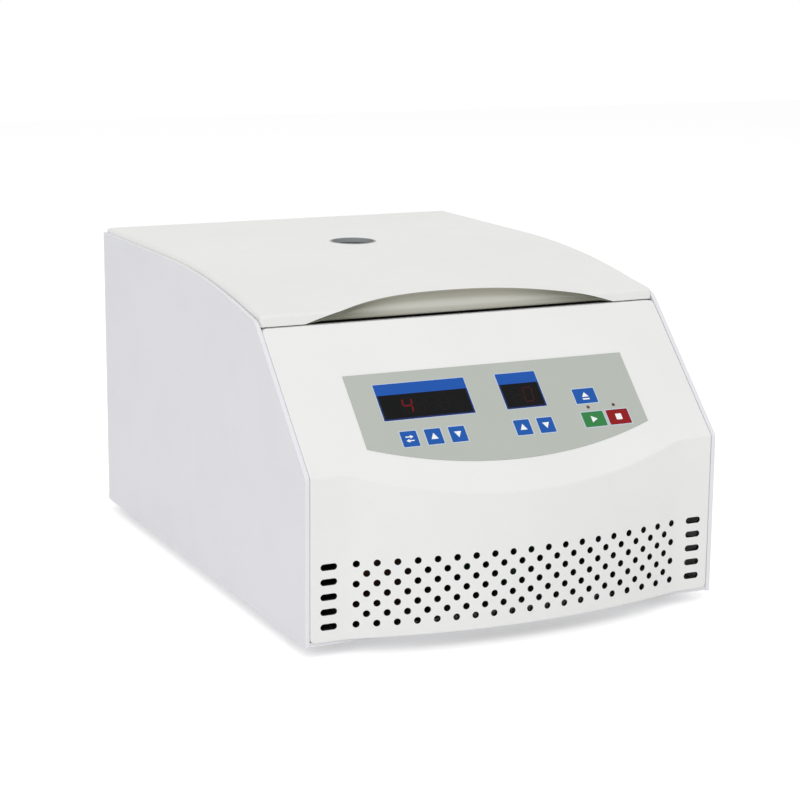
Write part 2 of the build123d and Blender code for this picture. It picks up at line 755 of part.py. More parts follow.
def lid_form(inset):
    """The lid's outer form, or the same form sunk by its wall and open below."""
    nose = lid_front + inset
    middle = (nose + lid_arc_y) / 2
    low = lid_bottom - 40 * inset
    with BuildPart() as form:
        with BuildSketch(Plane.YZ):
            with BuildLine():
                Polyline(
                    (nose, lid_curve_z(nose, inset)), (nose, low), (back_y - inset, low),
                    (back_y - inset, top_z - inset), (lid_arc_y, top_z - inset),
                )
                ThreePointArc(
                    (lid_arc_y, top_z - inset), (middle, lid_curve_z(middle, inset)),
                    (nose, lid_curve_z(nose, inset)),
                )
            make_face()
        extrude(amount=lid_half - inset, both=True)
        if inset == 0:
            fillet(form.edges().filter_by(Axis.Z).group_by(Axis.Y)[-1], rear_corner_radius - shell_wall)
            rim = form.edges().filter_by(lambda edge: (edge @ 0.5).Z > lid_bottom + 1 and edge.length > 12)
            fillet(rim, lid_edge_radius)
    return form.part


def scoop_form(grow, sink):
    """The finger scoop cut in the front of the lid, or the cut grown for its wall and floor."""
    low = scoop_floor_front - sink
    high = scoop_floor_back - sink
    fall = (high - low) / scoop_depth
    with BuildPart() as form:
        with BuildSketch(Plane.XY.offset(rim_z)):
            with Locations((0, scoop_apex_y - scoop_radius)):
                Circle(scoop_radius + grow)
        extrude(amount=cabinet_height)
        with BuildSketch(Plane.YZ):
            Polygon(
                (crest_y - 30, low - 30 * fall), (scoop_apex_y + 30, high + 30 * fall),
                (scoop_apex_y + 30, top_z + 1), (crest_y - 30, top_z + 1),
            )
        extrude(amount=cabinet_width / 2, both=True, mode=Mode.INTERSECT)
        cove = form.edges().filter_by(lambda edge: (edge @ 0.5).Y > crest_y + 20).group_by(Axis.Z)[0]
        fillet(cove, scoop_cove + grow)
    return form.part


lid_outside = lid_form(0)
lid_inside = lid_form(lid_wall)
scoop_cut = scoop_form(0, 0)
scoop_wall_form = scoop_form(lid_wall, finger_lip)
liner_wall = 1.5
liner_depth = 8.0
liner_half = bowl_radius + bowl_flange + 7.0
liner_front = panel_back + 2.5
liner_back = hinge_y - 20.0
lid_boss_radius = 6.0
lid_boss_inset = 14.0
lid_boss_places = [
    (side * across, y)
    for side in (-1, 1)
    for across, y in (
        (liner_half - lid_boss_inset, liner_front + lid_boss_inset),
        (liner_half - lid_boss_inset, liner_back - lid_boss_inset),
        (liner_half / 3, liner_front + lid_boss_inset),
    )
]
ring_outer = port_radius + port_ring_wall
with BuildPart() as lid_bosses:
    with BuildSketch(Plane.XY.offset(lid_bottom)):
        with Locations(*lid_boss_places):
            Circle(lid_boss_radius)
    extrude(amount=cabinet_height)
    add(lid_outside, mode=Mode.INTERSECT)
    add(scoop_cut, mode=Mode.SUBTRACT)
    with BuildSketch(Plane.XY.offset(liner_z + liner_wall)):
        with Locations(*lid_boss_places):
            Circle(lid_boss_radius)
    extrude(amount=lid_bottom + seam - liner_z - liner_wall)

with BuildPart() as lid_shell:
    add(lid_outside)
    add(scoop_cut, mode=Mode.SUBTRACT)
    add(lid_inside - scoop_wall_form, mode=Mode.SUBTRACT)
    # open gap under the scoop's lip
    with BuildSketch(Plane.XY.offset(lid_bottom - 1)):
        with Locations((0, scoop_apex_y - scoop_radius)):
            Circle(scoop_radius - seam)
    extrude(amount=scoop_floor_front - finger_lip - lid_bottom + 1, mode=Mode.SUBTRACT)
    add(lid_bosses.part)
    # notches in the rear edge for the hinge knuckles
    with BuildSketch(Plane.XY.offset(lid_bottom - 1)):
        with Locations((-hinge_spacing / 2, back_y), (hinge_spacing / 2, back_y)):
            Rectangle(knuckle_length * 2 + 8.0, 2 * lid_wall + 2)
    extrude(amount=knuckle_radius + 2, mode=Mode.SUBTRACT)
    with BuildSketch(around_rotor(lid_bottom)):
        Circle(ring_outer + fit / 2)
    extrude(amount=cabinet_height, mode=Mode.SUBTRACT)
save(lid_shell, "lid_shell")

with BuildPart() as lid_liner:
    with BuildSketch(Plane.XY.offset(liner_z)) as outline:
        with Locations((0, (liner_front + liner_back) / 2)):
            RectangleRounded(2 * liner_half, liner_back - liner_front, 18.0)
    extrude(amount=liner_depth)
    with BuildSketch(Plane.XY.offset(liner_z + liner_wall)) as outline:
        with Locations((0, (liner_front + liner_back) / 2)):
            RectangleRounded(
                2 * (liner_half - liner_wall), liner_back - liner_front - 2 * liner_wall, 18.0 - liner_wall
            )
    extrude(amount=liner_depth, mode=Mode.SUBTRACT)
    with BuildSketch(around_rotor(liner_z)):
        Circle(ring_outer + fit / 2)
    extrude(amount=liner_depth, mode=Mode.SUBTRACT)
save(lid_liner, "lid_liner")

port_seat = top_z - port_recess - window_thickness
with BuildPart() as port_ring:
    with BuildSketch(rotor_section) as section:
        Polygon(
            (port_radius - 2, liner_z), (ring_outer, liner_z), (ring_outer, top_z + fit),
            (port_radius, top_z + fit), (port_radius, port_seat), (port_radius - 2, port_seat),
        )
    revolve(axis=rotor_axis)
save(port_ring, "port_ring")

with BuildPart() as port_window:
    with BuildSketch(around_rotor(port_seat)):
        Circle(port_radius - running)
    extrude(amount=window_thickness)
save(port_window, "port_window")

loop_radius = 2.5
loop_half = 9.0
loop_z = deck_z - 11.5
loop_plane = Plane(origin=(0, latch_y, 0), x_dir=(1, 0, 0), z_dir=(0, -1, 0))
with BuildPart() as lid_striker:
    with BuildSketch(Plane.XY.offset(liner_z - 2)):
        with Locations((0, latch_y)):
            RectangleRounded(34.0, 20.0, 3.0)
    extrude(amount=2.0)
    with BuildLine(loop_plane) as loop:
        FilletPolyline(
            (-loop_half, liner_z - 1), (-loop_half, loop_z), (loop_half, loop_z), (loop_half, liner_z - 1),
            radius=4.0,
        )
    with BuildSketch(Plane(origin=loop.line @ 0, z_dir=loop.line % 0)):
        Rectangle(2 * loop_radius, 2 * loop_radius)
    sweep(path=loop.line)
save(lid_striker, "lid_striker")

# strip that fills the gap behind the scoop's lip
with BuildPart() as lid_front_seal:
    with BuildSketch(Plane.XY.offset(crest_z)):
        with Locations((0, crest_y + panel_flange / 2)):
            Rectangle(scoop_chord - 20.0, 5.0)
    extrude(amount=finger_gap - fit)
save(lid_front_seal, "lid_front_seal")

# ---------------------------------------------------------------- hinges and struts

leaf_half = knuckle_length / 2 + 0.5 + 12.5
leaf_top = top_z - lid_wall
leaf_thickness = 3.0
hinge_plane = Plane(origin=(0, hinge_y, hinge_z), x_dir=(0, 1, 0), z_dir=(1, 0, 0))
hinge_centres = (-hinge_spacing / 2, hinge_spacing / 2)
with BuildPart() as lid_hinge_leaves:
    for centre in hinge_centres:
        with BuildSketch(hinge_plane.offset(centre)):
            Circle(knuckle_radius)
            Polygon(
                (-knuckle_radius, 0), (-knuckle_radius, leaf_top - leaf_thickness - hinge_z),
                (-34.0, leaf_top - leaf_thickness - hinge_z), (-34.0, leaf_top - hinge_z),
                (-1, leaf_top - hinge_z), (-1, 0), align=None,
            )
            Circle(hinge_pin_radius + running, mode=Mode.SUBTRACT)
        extrude(amount=leaf_half, both=True)
        with BuildSketch(hinge_plane.offset(centre)):
            Rectangle(12.0, 2 * knuckle_radius + 3.0)
        extrude(amount=knuckle_length / 2 + 0.5, both=True, mode=Mode.SUBTRACT)
save(lid_hinge_leaves, "lid_hinge_leaves")

with BuildPart() as hinge_brackets:
    for centre in hinge_centres:
        with BuildSketch(hinge_plane.offset(centre)):
            Circle(knuckle_radius)
            Polygon(
                (-knuckle_radius, 0), (-knuckle_radius, deck_z + leaf_thickness - hinge_z),
                (-20.0, deck_z + leaf_thickness - hinge_z), (-20.0, deck_z - hinge_z),
                (-0.5, deck_z - hinge_z), (-0.5, 0), align=None,
            )
            Circle(hinge_pin_radius + running, mode=Mode.SUBTRACT)
        extrude(amount=knuckle_length / 2, both=True)
save(hinge_brackets, "hinge_brackets")

with BuildPart() as hinge_pins:
    for centre in hinge_centres:
        with BuildSketch(hinge_plane.offset(centre)):
            Circle(hinge_pin_radius)
        extrude(amount=leaf_half, both=True)
save(hinge_pins, "hinge_pins")

lid_stud_y = hinge_y - strut_lid_reach
lid_stud_z = hinge_z + strut_lid_rise
deck_stud_y = lid_stud_y - strut_span
deck_stud_z = deck_z + strut_radius + 2.5
open_angle = radians(lid_opening)
open_stud_y = hinge_y - strut_lid_reach * cos(open_angle) + strut_lid_rise * sin(open_angle)
open_stud_z = hinge_z + strut_lid_reach * sin(open_angle) + strut_lid_rise * cos(open_angle)
strut_length = hypot(strut_span, lid_stud_z - deck_stud_z)
strut_stroke = hypot(open_stud_y - deck_stud_y, open_stud_z - deck_stud_z) - strut_length
strut_tilt = atan2(lid_stud_z - deck_stud_z, strut_span)
cylinder_end = 0.8 * strut_length
tube_wall = 1.5
tab_thickness = 2.0
tab_across = strut_across - eye_radius - tab_thickness - 2.0
with BuildPart() as lid_strut_tabs:
    for side in (-1, 1):
        with BuildSketch(Plane.YZ.offset(side * tab_across)):
            with Locations((lid_stud_y, (lid_stud_z - 8 + leaf_top) / 2)):
                Rectangle(24.0, leaf_top - lid_stud_z + 8)
        extrude(amount=side * tab_thickness)
        with BuildSketch(Plane.XY.offset(leaf_top - tab_thickness)):
            with Locations((side * (tab_across - 4.0), lid_stud_y)):
                Rectangle(10.0, 24.0)
        extrude(amount=tab_thickness)
save(lid_strut_tabs, "lid_strut_tabs")

with BuildPart() as strut_mounts:
    for side in (-1, 1):
        with BuildSketch(Plane.YZ.offset(side * tab_across)):
            with Locations((deck_stud_y, (deck_z + deck_stud_z + 6) / 2)):
                Rectangle(20.0, deck_stud_z + 6 - deck_z)
        extrude(amount=side * tab_thickness)
        with BuildSketch(Plane.XY.offset(deck_z)):
            with Locations((side * (tab_across - 4.0), deck_stud_y)):
                Rectangle(10.0, 20.0)
        extrude(amount=tab_thickness)
        with BuildSketch(Plane.YZ.offset(side * (tab_across + 1))):
            with Locations((deck_stud_y, deck_stud_z)):
                Circle(stud_radius)
        extrude(amount=side * (2 * eye_radius + 5))
        with BuildSketch(Plane.YZ.offset(side * (strut_across + eye_radius + fit))):
            with Locations((deck_stud_y, deck_stud_z)):
                Circle(stud_radius + 1.5)
        extrude(amount=side * 1.5)
save(strut_mounts, "strut_mounts")

for name, side in (("left", -1), ("right", 1)):
    along = Plane(
        origin=(side * strut_across, deck_stud_y, deck_stud_z),
        x_dir=(0, cos(strut_tilt), sin(strut_tilt)), z_dir=(1, 0, 0),
    )
    along_axis = Axis(along.origin, along.x_dir)
    bore = strut_radius - tube_wall
    with BuildPart() as cylinder:
        with BuildSketch(along):
            Polygon(
                (0, 0), (0, eye_radius - 1), (12, eye_radius - 1), (12, strut_radius), (cylinder_end, strut_radius),
                (cylinder_end, rod_radius + running), (cylinder_end - 4, rod_radius + running),
                (cylinder_end - 4, bore), (16, bore), (16, 0), align=None,
            )
        revolve(axis=along_axis)
        with BuildSketch(along):
            Circle(eye_radius)
        extrude(amount=eye_radius, both=True)
        with BuildSketch(along):
            Circle(stud_radius + running)
        extrude(amount=strut_radius + 1, both=True, mode=Mode.SUBTRACT)
    save(cylinder, f"strut_cylinder_{name}")

    rod_foot = cylinder_end - 12.0 - strut_stroke
    with BuildPart() as rod:
        with BuildSketch(along):
            Polygon(
                (rod_foot, 0), (rod_foot, bore - 2 * running), (rod_foot + 5, bore - 2 * running),
                (rod_foot + 5, rod_radius), (strut_length, rod_radius), (strut_length, 0), align=None,
            )
        revolve(axis=along_axis)
        stud_plane = Plane(
            origin=(side * (tab_across + tab_thickness + fit), lid_stud_y, lid_stud_z), x_dir=(0, 1, 0),
            z_dir=(side, 0, 0),
        )
        with BuildSketch(stud_plane.offset(2 - fit)):
            Circle(eye_radius)
        extrude(amount=2 * eye_radius)
        with BuildSketch(stud_plane):
            Circle(stud_radius)
        extrude(amount=2 * eye_radius + 3)
    save(rod, f"strut_rod_{name}")

# ---------------------------------------------------------------- lid latch

pivot_y = latch_y + 6.1
pivot_z = deck_z - 45.0
hook_angle = 15.0
pivot_radius = 3.0
hook_half = 2.5
latch_half = 15.0
latch_sheet = 2.0
latch_front = latch_y - 22.0
latch_back = latch_y + 28.0
latch_foot = pivot_z - 34.0
tail_reach = 20.0
plunger_radius = 4.0
deck_under = deck_z - deck_thickness
with BuildPart() as latch_frame:
    for side in (-1, 1):
        with BuildSketch(Plane.YZ.offset(side * latch_half)):
            with Locations(((latch_front + latch_back) / 2, (latch_foot + deck_under) / 2)):
                Rectangle(latch_back - latch_front, deck_under - latch_foot)
        extrude(amount=-side * latch_sheet)
    with BuildSketch(Plane.XY.offset(deck_under - latch_sheet)):
        with Locations((0, (latch_front + latch_back) / 2)):
            Rectangle(2 * latch_half + 22.0, latch_back - latch_front)
            Rectangle(2 * (latch_half - latch_sheet), latch_back - latch_front, mode=Mode.SUBTRACT)
    extrude(amount=latch_sheet)
    with BuildSketch(Plane.XY.offset(latch_foot)):
        with Locations((0, latch_front + latch_sheet / 2)):
            Rectangle(2 * latch_half, latch_sheet)
    extrude(amount=deck_under - latch_foot - 8.0)
    with BuildSketch(Plane.YZ.offset(-latch_half)):
        with Locations((pivot_y, pivot_z)):
            Circle(pivot_radius)
    extrude(amount=2 * latch_half)
save(latch_frame, "latch_frame")

hook_turn = radians(hook_angle)
hook_plane = Plane(origin=(0, pivot_y, pivot_z), x_dir=(0, cos(hook_turn), -sin(hook_turn)), z_dir=(1, 0, 0))
beak_low = loop_z + loop_radius + 0.5 - pivot_z
loop_ahead = latch_y - pivot_y
with BuildPart() as latch_hook:
    with BuildSketch(hook_plane):
        Polygon(
            (1, 0), (1, beak_low), (loop_ahead - loop_radius - 3.5, beak_low),
            (loop_ahead - loop_radius - 3.5, beak_low + 1.5), (loop_ahead + 1, beak_low + 4),
            (4, beak_low + 4), (8, beak_low), (8, -4), (3, -tail_reach - 3), (-3, -tail_reach - 3),
            (-3, 0), align=None,
        )
    extrude(amount=hook_half, both=True)
    with BuildSketch(hook_plane):
        Circle(pivot_radius + 4)
    extrude(amount=3 * hook_half, both=True)
    with BuildSketch(hook_plane):
        Circle(pivot_radius + running)
    extrude(amount=4 * hook_half, both=True, mode=Mode.SUBTRACT)
save(latch_hook, "latch_hook")

coil_z = pivot_z - tail_reach * cos(hook_turn)
plunger_tip = pivot_y - tail_reach * sin(hook_turn) - 3 / cos(hook_turn) - 2 * fit
plunger_travel = tail_reach * sin(hook_turn)
coil_length = 14.0
coil_plane = Plane(origin=(0, latch_front + latch_sheet, coil_z), x_dir=(1, 0, 0), z_dir=(0, 1, 0))
with BuildPart() as latch_coil:
    with BuildSketch(coil_plane):
        Rectangle(22.0, 18.0)
        Circle(plunger_radius + running, mode=Mode.SUBTRACT)
    extrude(amount=coil_length)
save(latch_coil, "latch_coil")

with BuildPart() as latch_plunger:
    with BuildSketch(coil_plane.offset(1.0)):
        Circle(plunger_radius)
    extrude(amount=plunger_tip - latch_front - latch_sheet - 1.0)
save(latch_plunger, "latch_plunger")

# ---------------------------------------------------------------- electronics

with BuildPart() as transformer:
    with BuildSketch(Plane.XY.offset(plate_top)):
        with Locations((-100.0, front_y + 90.0)):
            Rectangle(96.0, 40.0)
    extrude(amount=3.0)
    with BuildSketch(Plane.XY.offset(plate_top + 3)):
        with Locations((-100.0, front_y + 90.0)):
            Rectangle(76.0, 34.0)
    extrude(amount=62.0)
    with BuildSketch(Plane.XY.offset(plate_top + 16)):
        with Locations((-100.0, front_y + 90.0)):
            RectangleRounded(50.0, 62.0, 8.0)
    extrude(amount=36.0)
save(transformer, "transformer")

board_x = 70.0
control_row = front_y + 95.0
standoff = 8.0
with BuildPart() as control_board:
    with BuildSketch(Plane.XY.offset(plate_top)):
        with Locations((board_x, control_row)):
            with GridLocations(148.0, 88.0, 2, 2):
                RegularPolygon(4.0, 6)
    extrude(amount=standoff)
    with BuildSketch(Plane.XY.offset(plate_top + standoff)):
        with Locations((board_x, control_row)):
            Rectangle(160.0, 100.0)
    extrude(amount=board_thickness)
    for x, y, length, width, height in (
        (-50.0, 20.0, 40.0, 30.0, 30.0), (10.0, 28.0, 60.0, 12.0, 35.0), (-45.0, -28.0, 30.0, 20.0, 14.0),
        (15.0, -20.0, 24.0, 24.0, 4.0), (60.0, -25.0, 14.0, 40.0, 12.0),
    ):
        with BuildSketch(Plane.XY.offset(plate_top + standoff + board_thickness)):
            with Locations((board_x + x, control_row + y)):
                Rectangle(length, width)
        extrude(amount=height)
save(control_board, "control_board")

rear_panel_thickness = 2.0
inlet_x = -85.0
switch_x = -30.0
fan_x = 92.0
rear_row = panel_open_z
inlet_width = 27.0
inlet_height = 19.5
switch_width = 13.0
switch_height = 19.0
fan_size = 80.0
fan_depth = 25.0
fan_hole = 37.0
rear = Plane(origin=(0, inner_back, rear_row), x_dir=(-1, 0, 0), z_dir=(0, 1, 0))
grille_pitch = 9.0
with BuildPart() as rear_panel:
    with BuildSketch(rear.offset(-rear_panel_thickness)):
        RectangleRounded(
            panel_open_width + 2 * rear_panel_overlap, panel_open_height + 2 * rear_panel_overlap, 6.0
        )
        with Locations((-inlet_x, 0)):
            Rectangle(inlet_width + 2 * fit, inlet_height + 2 * fit, mode=Mode.SUBTRACT)
        with Locations((-switch_x, 0)):
            Rectangle(switch_width + 4 + 2 * fit, switch_height + 4 + 2 * fit, mode=Mode.SUBTRACT)
        for step in range(-3, 4):
            half_chord = sqrt(fan_hole**2 - (step * grille_pitch) ** 2)
            with Locations((-fan_x, step * grille_pitch)):
                Rectangle(2 * half_chord, grille_pitch - 3.0, mode=Mode.SUBTRACT)
    extrude(amount=rear_panel_thickness)
save(rear_panel, "rear_panel")

socket_depth = 15.0
with BuildPart() as power_inlet:
    with BuildSketch(rear):
        with Locations((-inlet_x, 0)):
            RectangleRounded(50.0, 23.0, 4.0)
    extrude(amount=3.0)
    with BuildSketch(rear.offset(-22.0)):
        with Locations((-inlet_x, 0)):
            Rectangle(inlet_width, inlet_height)
    extrude(amount=22.0)
    with BuildSketch(rear.offset(3.0)):
        with Locations((-inlet_x, 0)):
            Polygon((-12, 4.5), (-8.5, 8), (8.5, 8), (12, 4.5), (12, -8), (-12, -8), align=None)
    extrude(amount=-socket_depth, mode=Mode.SUBTRACT)
    with BuildSketch(rear.offset(3.0 - socket_depth)):
        with Locations((-inlet_x - 7, -2), (-inlet_x + 7, -2), (-inlet_x, 2)):
            Rectangle(2.0, 4.0)
    extrude(amount=10.0)
save(power_inlet, "power_inlet")

rocker_tilt = 12.0
rocker_reach = 2.5
with BuildPart() as switch_housing:
    with BuildSketch(rear):
        with Locations((-switch_x, 0)):
            Rectangle(switch_width + 8, switch_height + 8)
    extrude(amount=1.5)
    with BuildSketch(rear.offset(-20.0)):
        with Locations((-switch_x, 0)):
            Rectangle(switch_width + 4, switch_height + 4)
    extrude(amount=20.0)
    with BuildSketch(rear.offset(1.5)):
        with Locations((-switch_x, 0)):
            Rectangle(switch_width, switch_height)
    extrude(amount=-14.0, mode=Mode.SUBTRACT)
save(switch_housing, "switch_housing")

# the rocker's ends stand out either side of its pivot
tilt = radians(rocker_tilt)
rocker_plane = Plane(
    origin=(switch_x, inner_back - 2.5, rear_row), x_dir=(0, cos(tilt), sin(tilt)), z_dir=(1, 0, 0)
)
rocker_half = switch_height / 2 - 0.8
with BuildPart() as switch_rocker:
    with BuildSketch(rocker_plane):
        Polygon(
            (-4, -4), (-4, 4), (2, rocker_half), (4, rocker_half - 0.6), (rocker_reach, 0),
            (4, 0.6 - rocker_half), (2, -rocker_half), align=None,
        )
    extrude(amount=switch_width / 2 - fit, both=True)
save(switch_rocker, "switch_rocker")

fan_plane = Plane(origin=(fan_x, inner_back - rear_panel_thickness, rear_row), x_dir=(-1, 0, 0), z_dir=(0, 1, 0))
strut_half = 3.0
with BuildPart() as fan_frame:
    with BuildSketch(fan_plane.offset(-fan_depth)):
        RectangleRounded(fan_size, fan_size, 4.0)
        Circle(fan_hole + 1, mode=Mode.SUBTRACT)
    extrude(amount=fan_depth)
    # motor mount held by three arms
    with BuildSketch(fan_plane.offset(-fan_depth)):
        Circle(19.0)
        for turn in (30, 150, 270):
            with Locations((28.5 * cos(radians(turn)), 28.5 * sin(radians(turn)))):
                Rectangle(21.0, 2 * strut_half, rotation=turn)
    extrude(amount=3.0)
save(fan_frame, "fan_frame")

with BuildPart() as fan_rotor:
    with BuildSketch(fan_plane.offset(3.0 + fit - fan_depth)):
        Circle(18.0)
    extrude(amount=fan_depth - 6.0)
    for blade in range(7):
        turn = radians(blade * 360 / 7)
        blade_origin = (fan_x, inner_back - rear_panel_thickness - fan_depth / 2, rear_row)
        with BuildSketch(Plane(origin=blade_origin, x_dir=(0, 1, 0), z_dir=(cos(turn), 0, sin(turn)))):
            Rectangle(17.0, 1.8, rotation=40)
        extrude(amount=fan_hole - 1.0)
save(fan_rotor, "fan_rotor")

# ---------------------------------------------------------------- fasteners

screw_radius = 3.5
screw_sides = 8
under_rim = Plane(origin=(0, 0, rim_z), x_dir=(1, 0, 0), z_dir=(0, 0, -1))
with BuildPart() as case_screws:
    for side in (-1, 1):
        for y in (front_y + 30.0, axis_y - 40.0, back_y - 30.0):
            with BuildSketch(under_rim):
                with Locations((side * (inner_half - rim_width / 2), -y)):
                    RegularPolygon(screw_radius, screw_sides)
            extrude(amount=2.0)
    fan_holes = fan_size / 2 - 4.25
    with BuildSketch(rear):
        with Locations((-fan_x, 0)):
            with GridLocations(2 * fan_holes, 2 * fan_holes, 2, 2):
                RegularPolygon(screw_radius - 0.5, screw_sides)
    extrude(amount=1.8)
    with BuildSketch(rear.offset(3.0)):
        with Locations((-inlet_x - 20, 0), (-inlet_x + 20, 0)):
            RegularPolygon(screw_radius - 1.1, screw_sides)
    extrude(amount=0.9)
save(case_screws, "case_screws")

under_liner = Plane(origin=(0, 0, liner_z), x_dir=(1, 0, 0), z_dir=(0, 0, -1))
with BuildPart() as lid_screws:
    with BuildSketch(under_liner):
        with Locations(*[(x, -y) for x, y in lid_boss_places]):
            RegularPolygon(screw_radius, screw_sides)
    extrude(amount=2.0)
save(lid_screws, "lid_screws")
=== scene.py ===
"""Looks of a bench-top plate centrifuge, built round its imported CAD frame. Sizes are in millimetres."""

import logging
import math
from collections.abc import Callable, Iterable, Sequence
from dataclasses import dataclass
from enum import Enum
from typing import Any

import bmesh
import bpy
import numpy as np
from mathutils import Matrix, Vector
from mathutils.geometry import delaunay_2d_cdt


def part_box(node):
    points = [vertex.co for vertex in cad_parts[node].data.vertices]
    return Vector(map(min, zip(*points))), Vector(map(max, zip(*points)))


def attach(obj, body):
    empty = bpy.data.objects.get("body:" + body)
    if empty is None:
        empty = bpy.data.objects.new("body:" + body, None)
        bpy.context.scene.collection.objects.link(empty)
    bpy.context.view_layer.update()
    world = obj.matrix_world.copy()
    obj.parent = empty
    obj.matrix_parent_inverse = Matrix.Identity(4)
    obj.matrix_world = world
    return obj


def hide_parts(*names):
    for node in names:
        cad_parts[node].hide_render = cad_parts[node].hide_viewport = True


LOG = logging.getLogger("centrifuge")
MM = 0.001
# how far under its place in the frame the crest between console and lid lies
CREST_DROP = 1.8
RIGHT, BACK, UP = np.eye(3)
Point = tuple[float, float]
Triple = tuple[float, float, float]
Color = tuple[float, float, float, float]
Rows = Sequence[np.ndarray] | np.ndarray

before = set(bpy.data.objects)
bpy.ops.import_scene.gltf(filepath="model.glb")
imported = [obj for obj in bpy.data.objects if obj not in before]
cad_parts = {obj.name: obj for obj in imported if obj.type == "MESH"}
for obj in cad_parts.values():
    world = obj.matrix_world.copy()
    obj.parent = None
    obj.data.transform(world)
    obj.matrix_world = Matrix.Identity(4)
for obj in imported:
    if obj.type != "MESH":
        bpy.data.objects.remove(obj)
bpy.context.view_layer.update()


def srgb(code: str) -> Color:
    """Turn a hex colour into the linear values that a shader takes.

    Args:
        code: Six hex digits.

    Returns:
        Red, green, blue and an alpha of one.
    """
    parts = [int(code[i:i + 2], 16) / 255 for i in (0, 2, 4)]
    red, green, blue = (c / 12.92 if c <= 0.04045 else ((c + 0.055) / 1.055) ** 2.4 for c in parts)
    return (red, green, blue, 1.0)


def shaded(color: Color, share: float, lift: float = 0.0) -> Color:
    """A colour scaled and lifted, up to white."""
    red, green, blue = (min(1.0, c * share + lift) for c in color[:3])
    return (red, green, blue, 1.0)


# ---------------------------------------------------------------- shader expressions


class Signal:
    """A shader socket with value maths written as Python operators."""

    def __init__(self, graph: "Graph", socket: bpy.types.NodeSocket) -> None:
        """Wrap one output socket of a graph."""
        self.graph = graph
        self.socket = socket

    def _math(self, operation: str, *values: Any) -> "Signal":
        """One Math node on this graph."""
        return self.graph.node("ShaderNodeMath", {"operation": operation}, dict(enumerate(values)))

    def __add__(self, other: Any) -> "Signal":
        """Sum."""
        return self._math("ADD", self, other)

    def __radd__(self, other: Any) -> "Signal":
        """Sum, reflected."""
        return self._math("ADD", other, self)

    def __sub__(self, other: Any) -> "Signal":
        """Difference."""
        return self._math("SUBTRACT", self, other)

    def __rsub__(self, other: Any) -> "Signal":
        """Difference, reflected."""
        return self._math("SUBTRACT", other, self)

    def __mul__(self, other: Any) -> "Signal":
        """Product."""
        return self._math("MULTIPLY", self, other)

    def __rmul__(self, other: Any) -> "Signal":
        """Product, reflected."""
        return self._math("MULTIPLY", other, self)

    def __truediv__(self, other: Any) -> "Signal":
        """Quotient."""
        return self._math("DIVIDE", self, other)

    def __rtruediv__(self, other: Any) -> "Signal":
        """Quotient, reflected."""
        return self._math("DIVIDE", other, self)

    def __pow__(self, other: Any) -> "Signal":
        """Power."""
        return self._math("POWER", self, other)

    def __rpow__(self, other: Any) -> "Signal":
        """Power, reflected."""
        return self._math("POWER", other, self)

    def clamp(self) -> "Signal":
        """Held between nought and one."""
        return self.graph.node("ShaderNodeClamp", {}, {"Value": self})

    def fract(self) -> "Signal":
        """The part after the point."""
        return self._math("FRACT", self)

    def between(self, low: float, high: float) -> "Signal":
        """Smooth step from nought at low to one at high."""
        inputs = {0: self, 1: low, 2: high, 3: 0.0, 4: 1.0}
        return self.graph.node("ShaderNodeMapRange", {"interpolation_type": "SMOOTHSTEP"}, inputs)


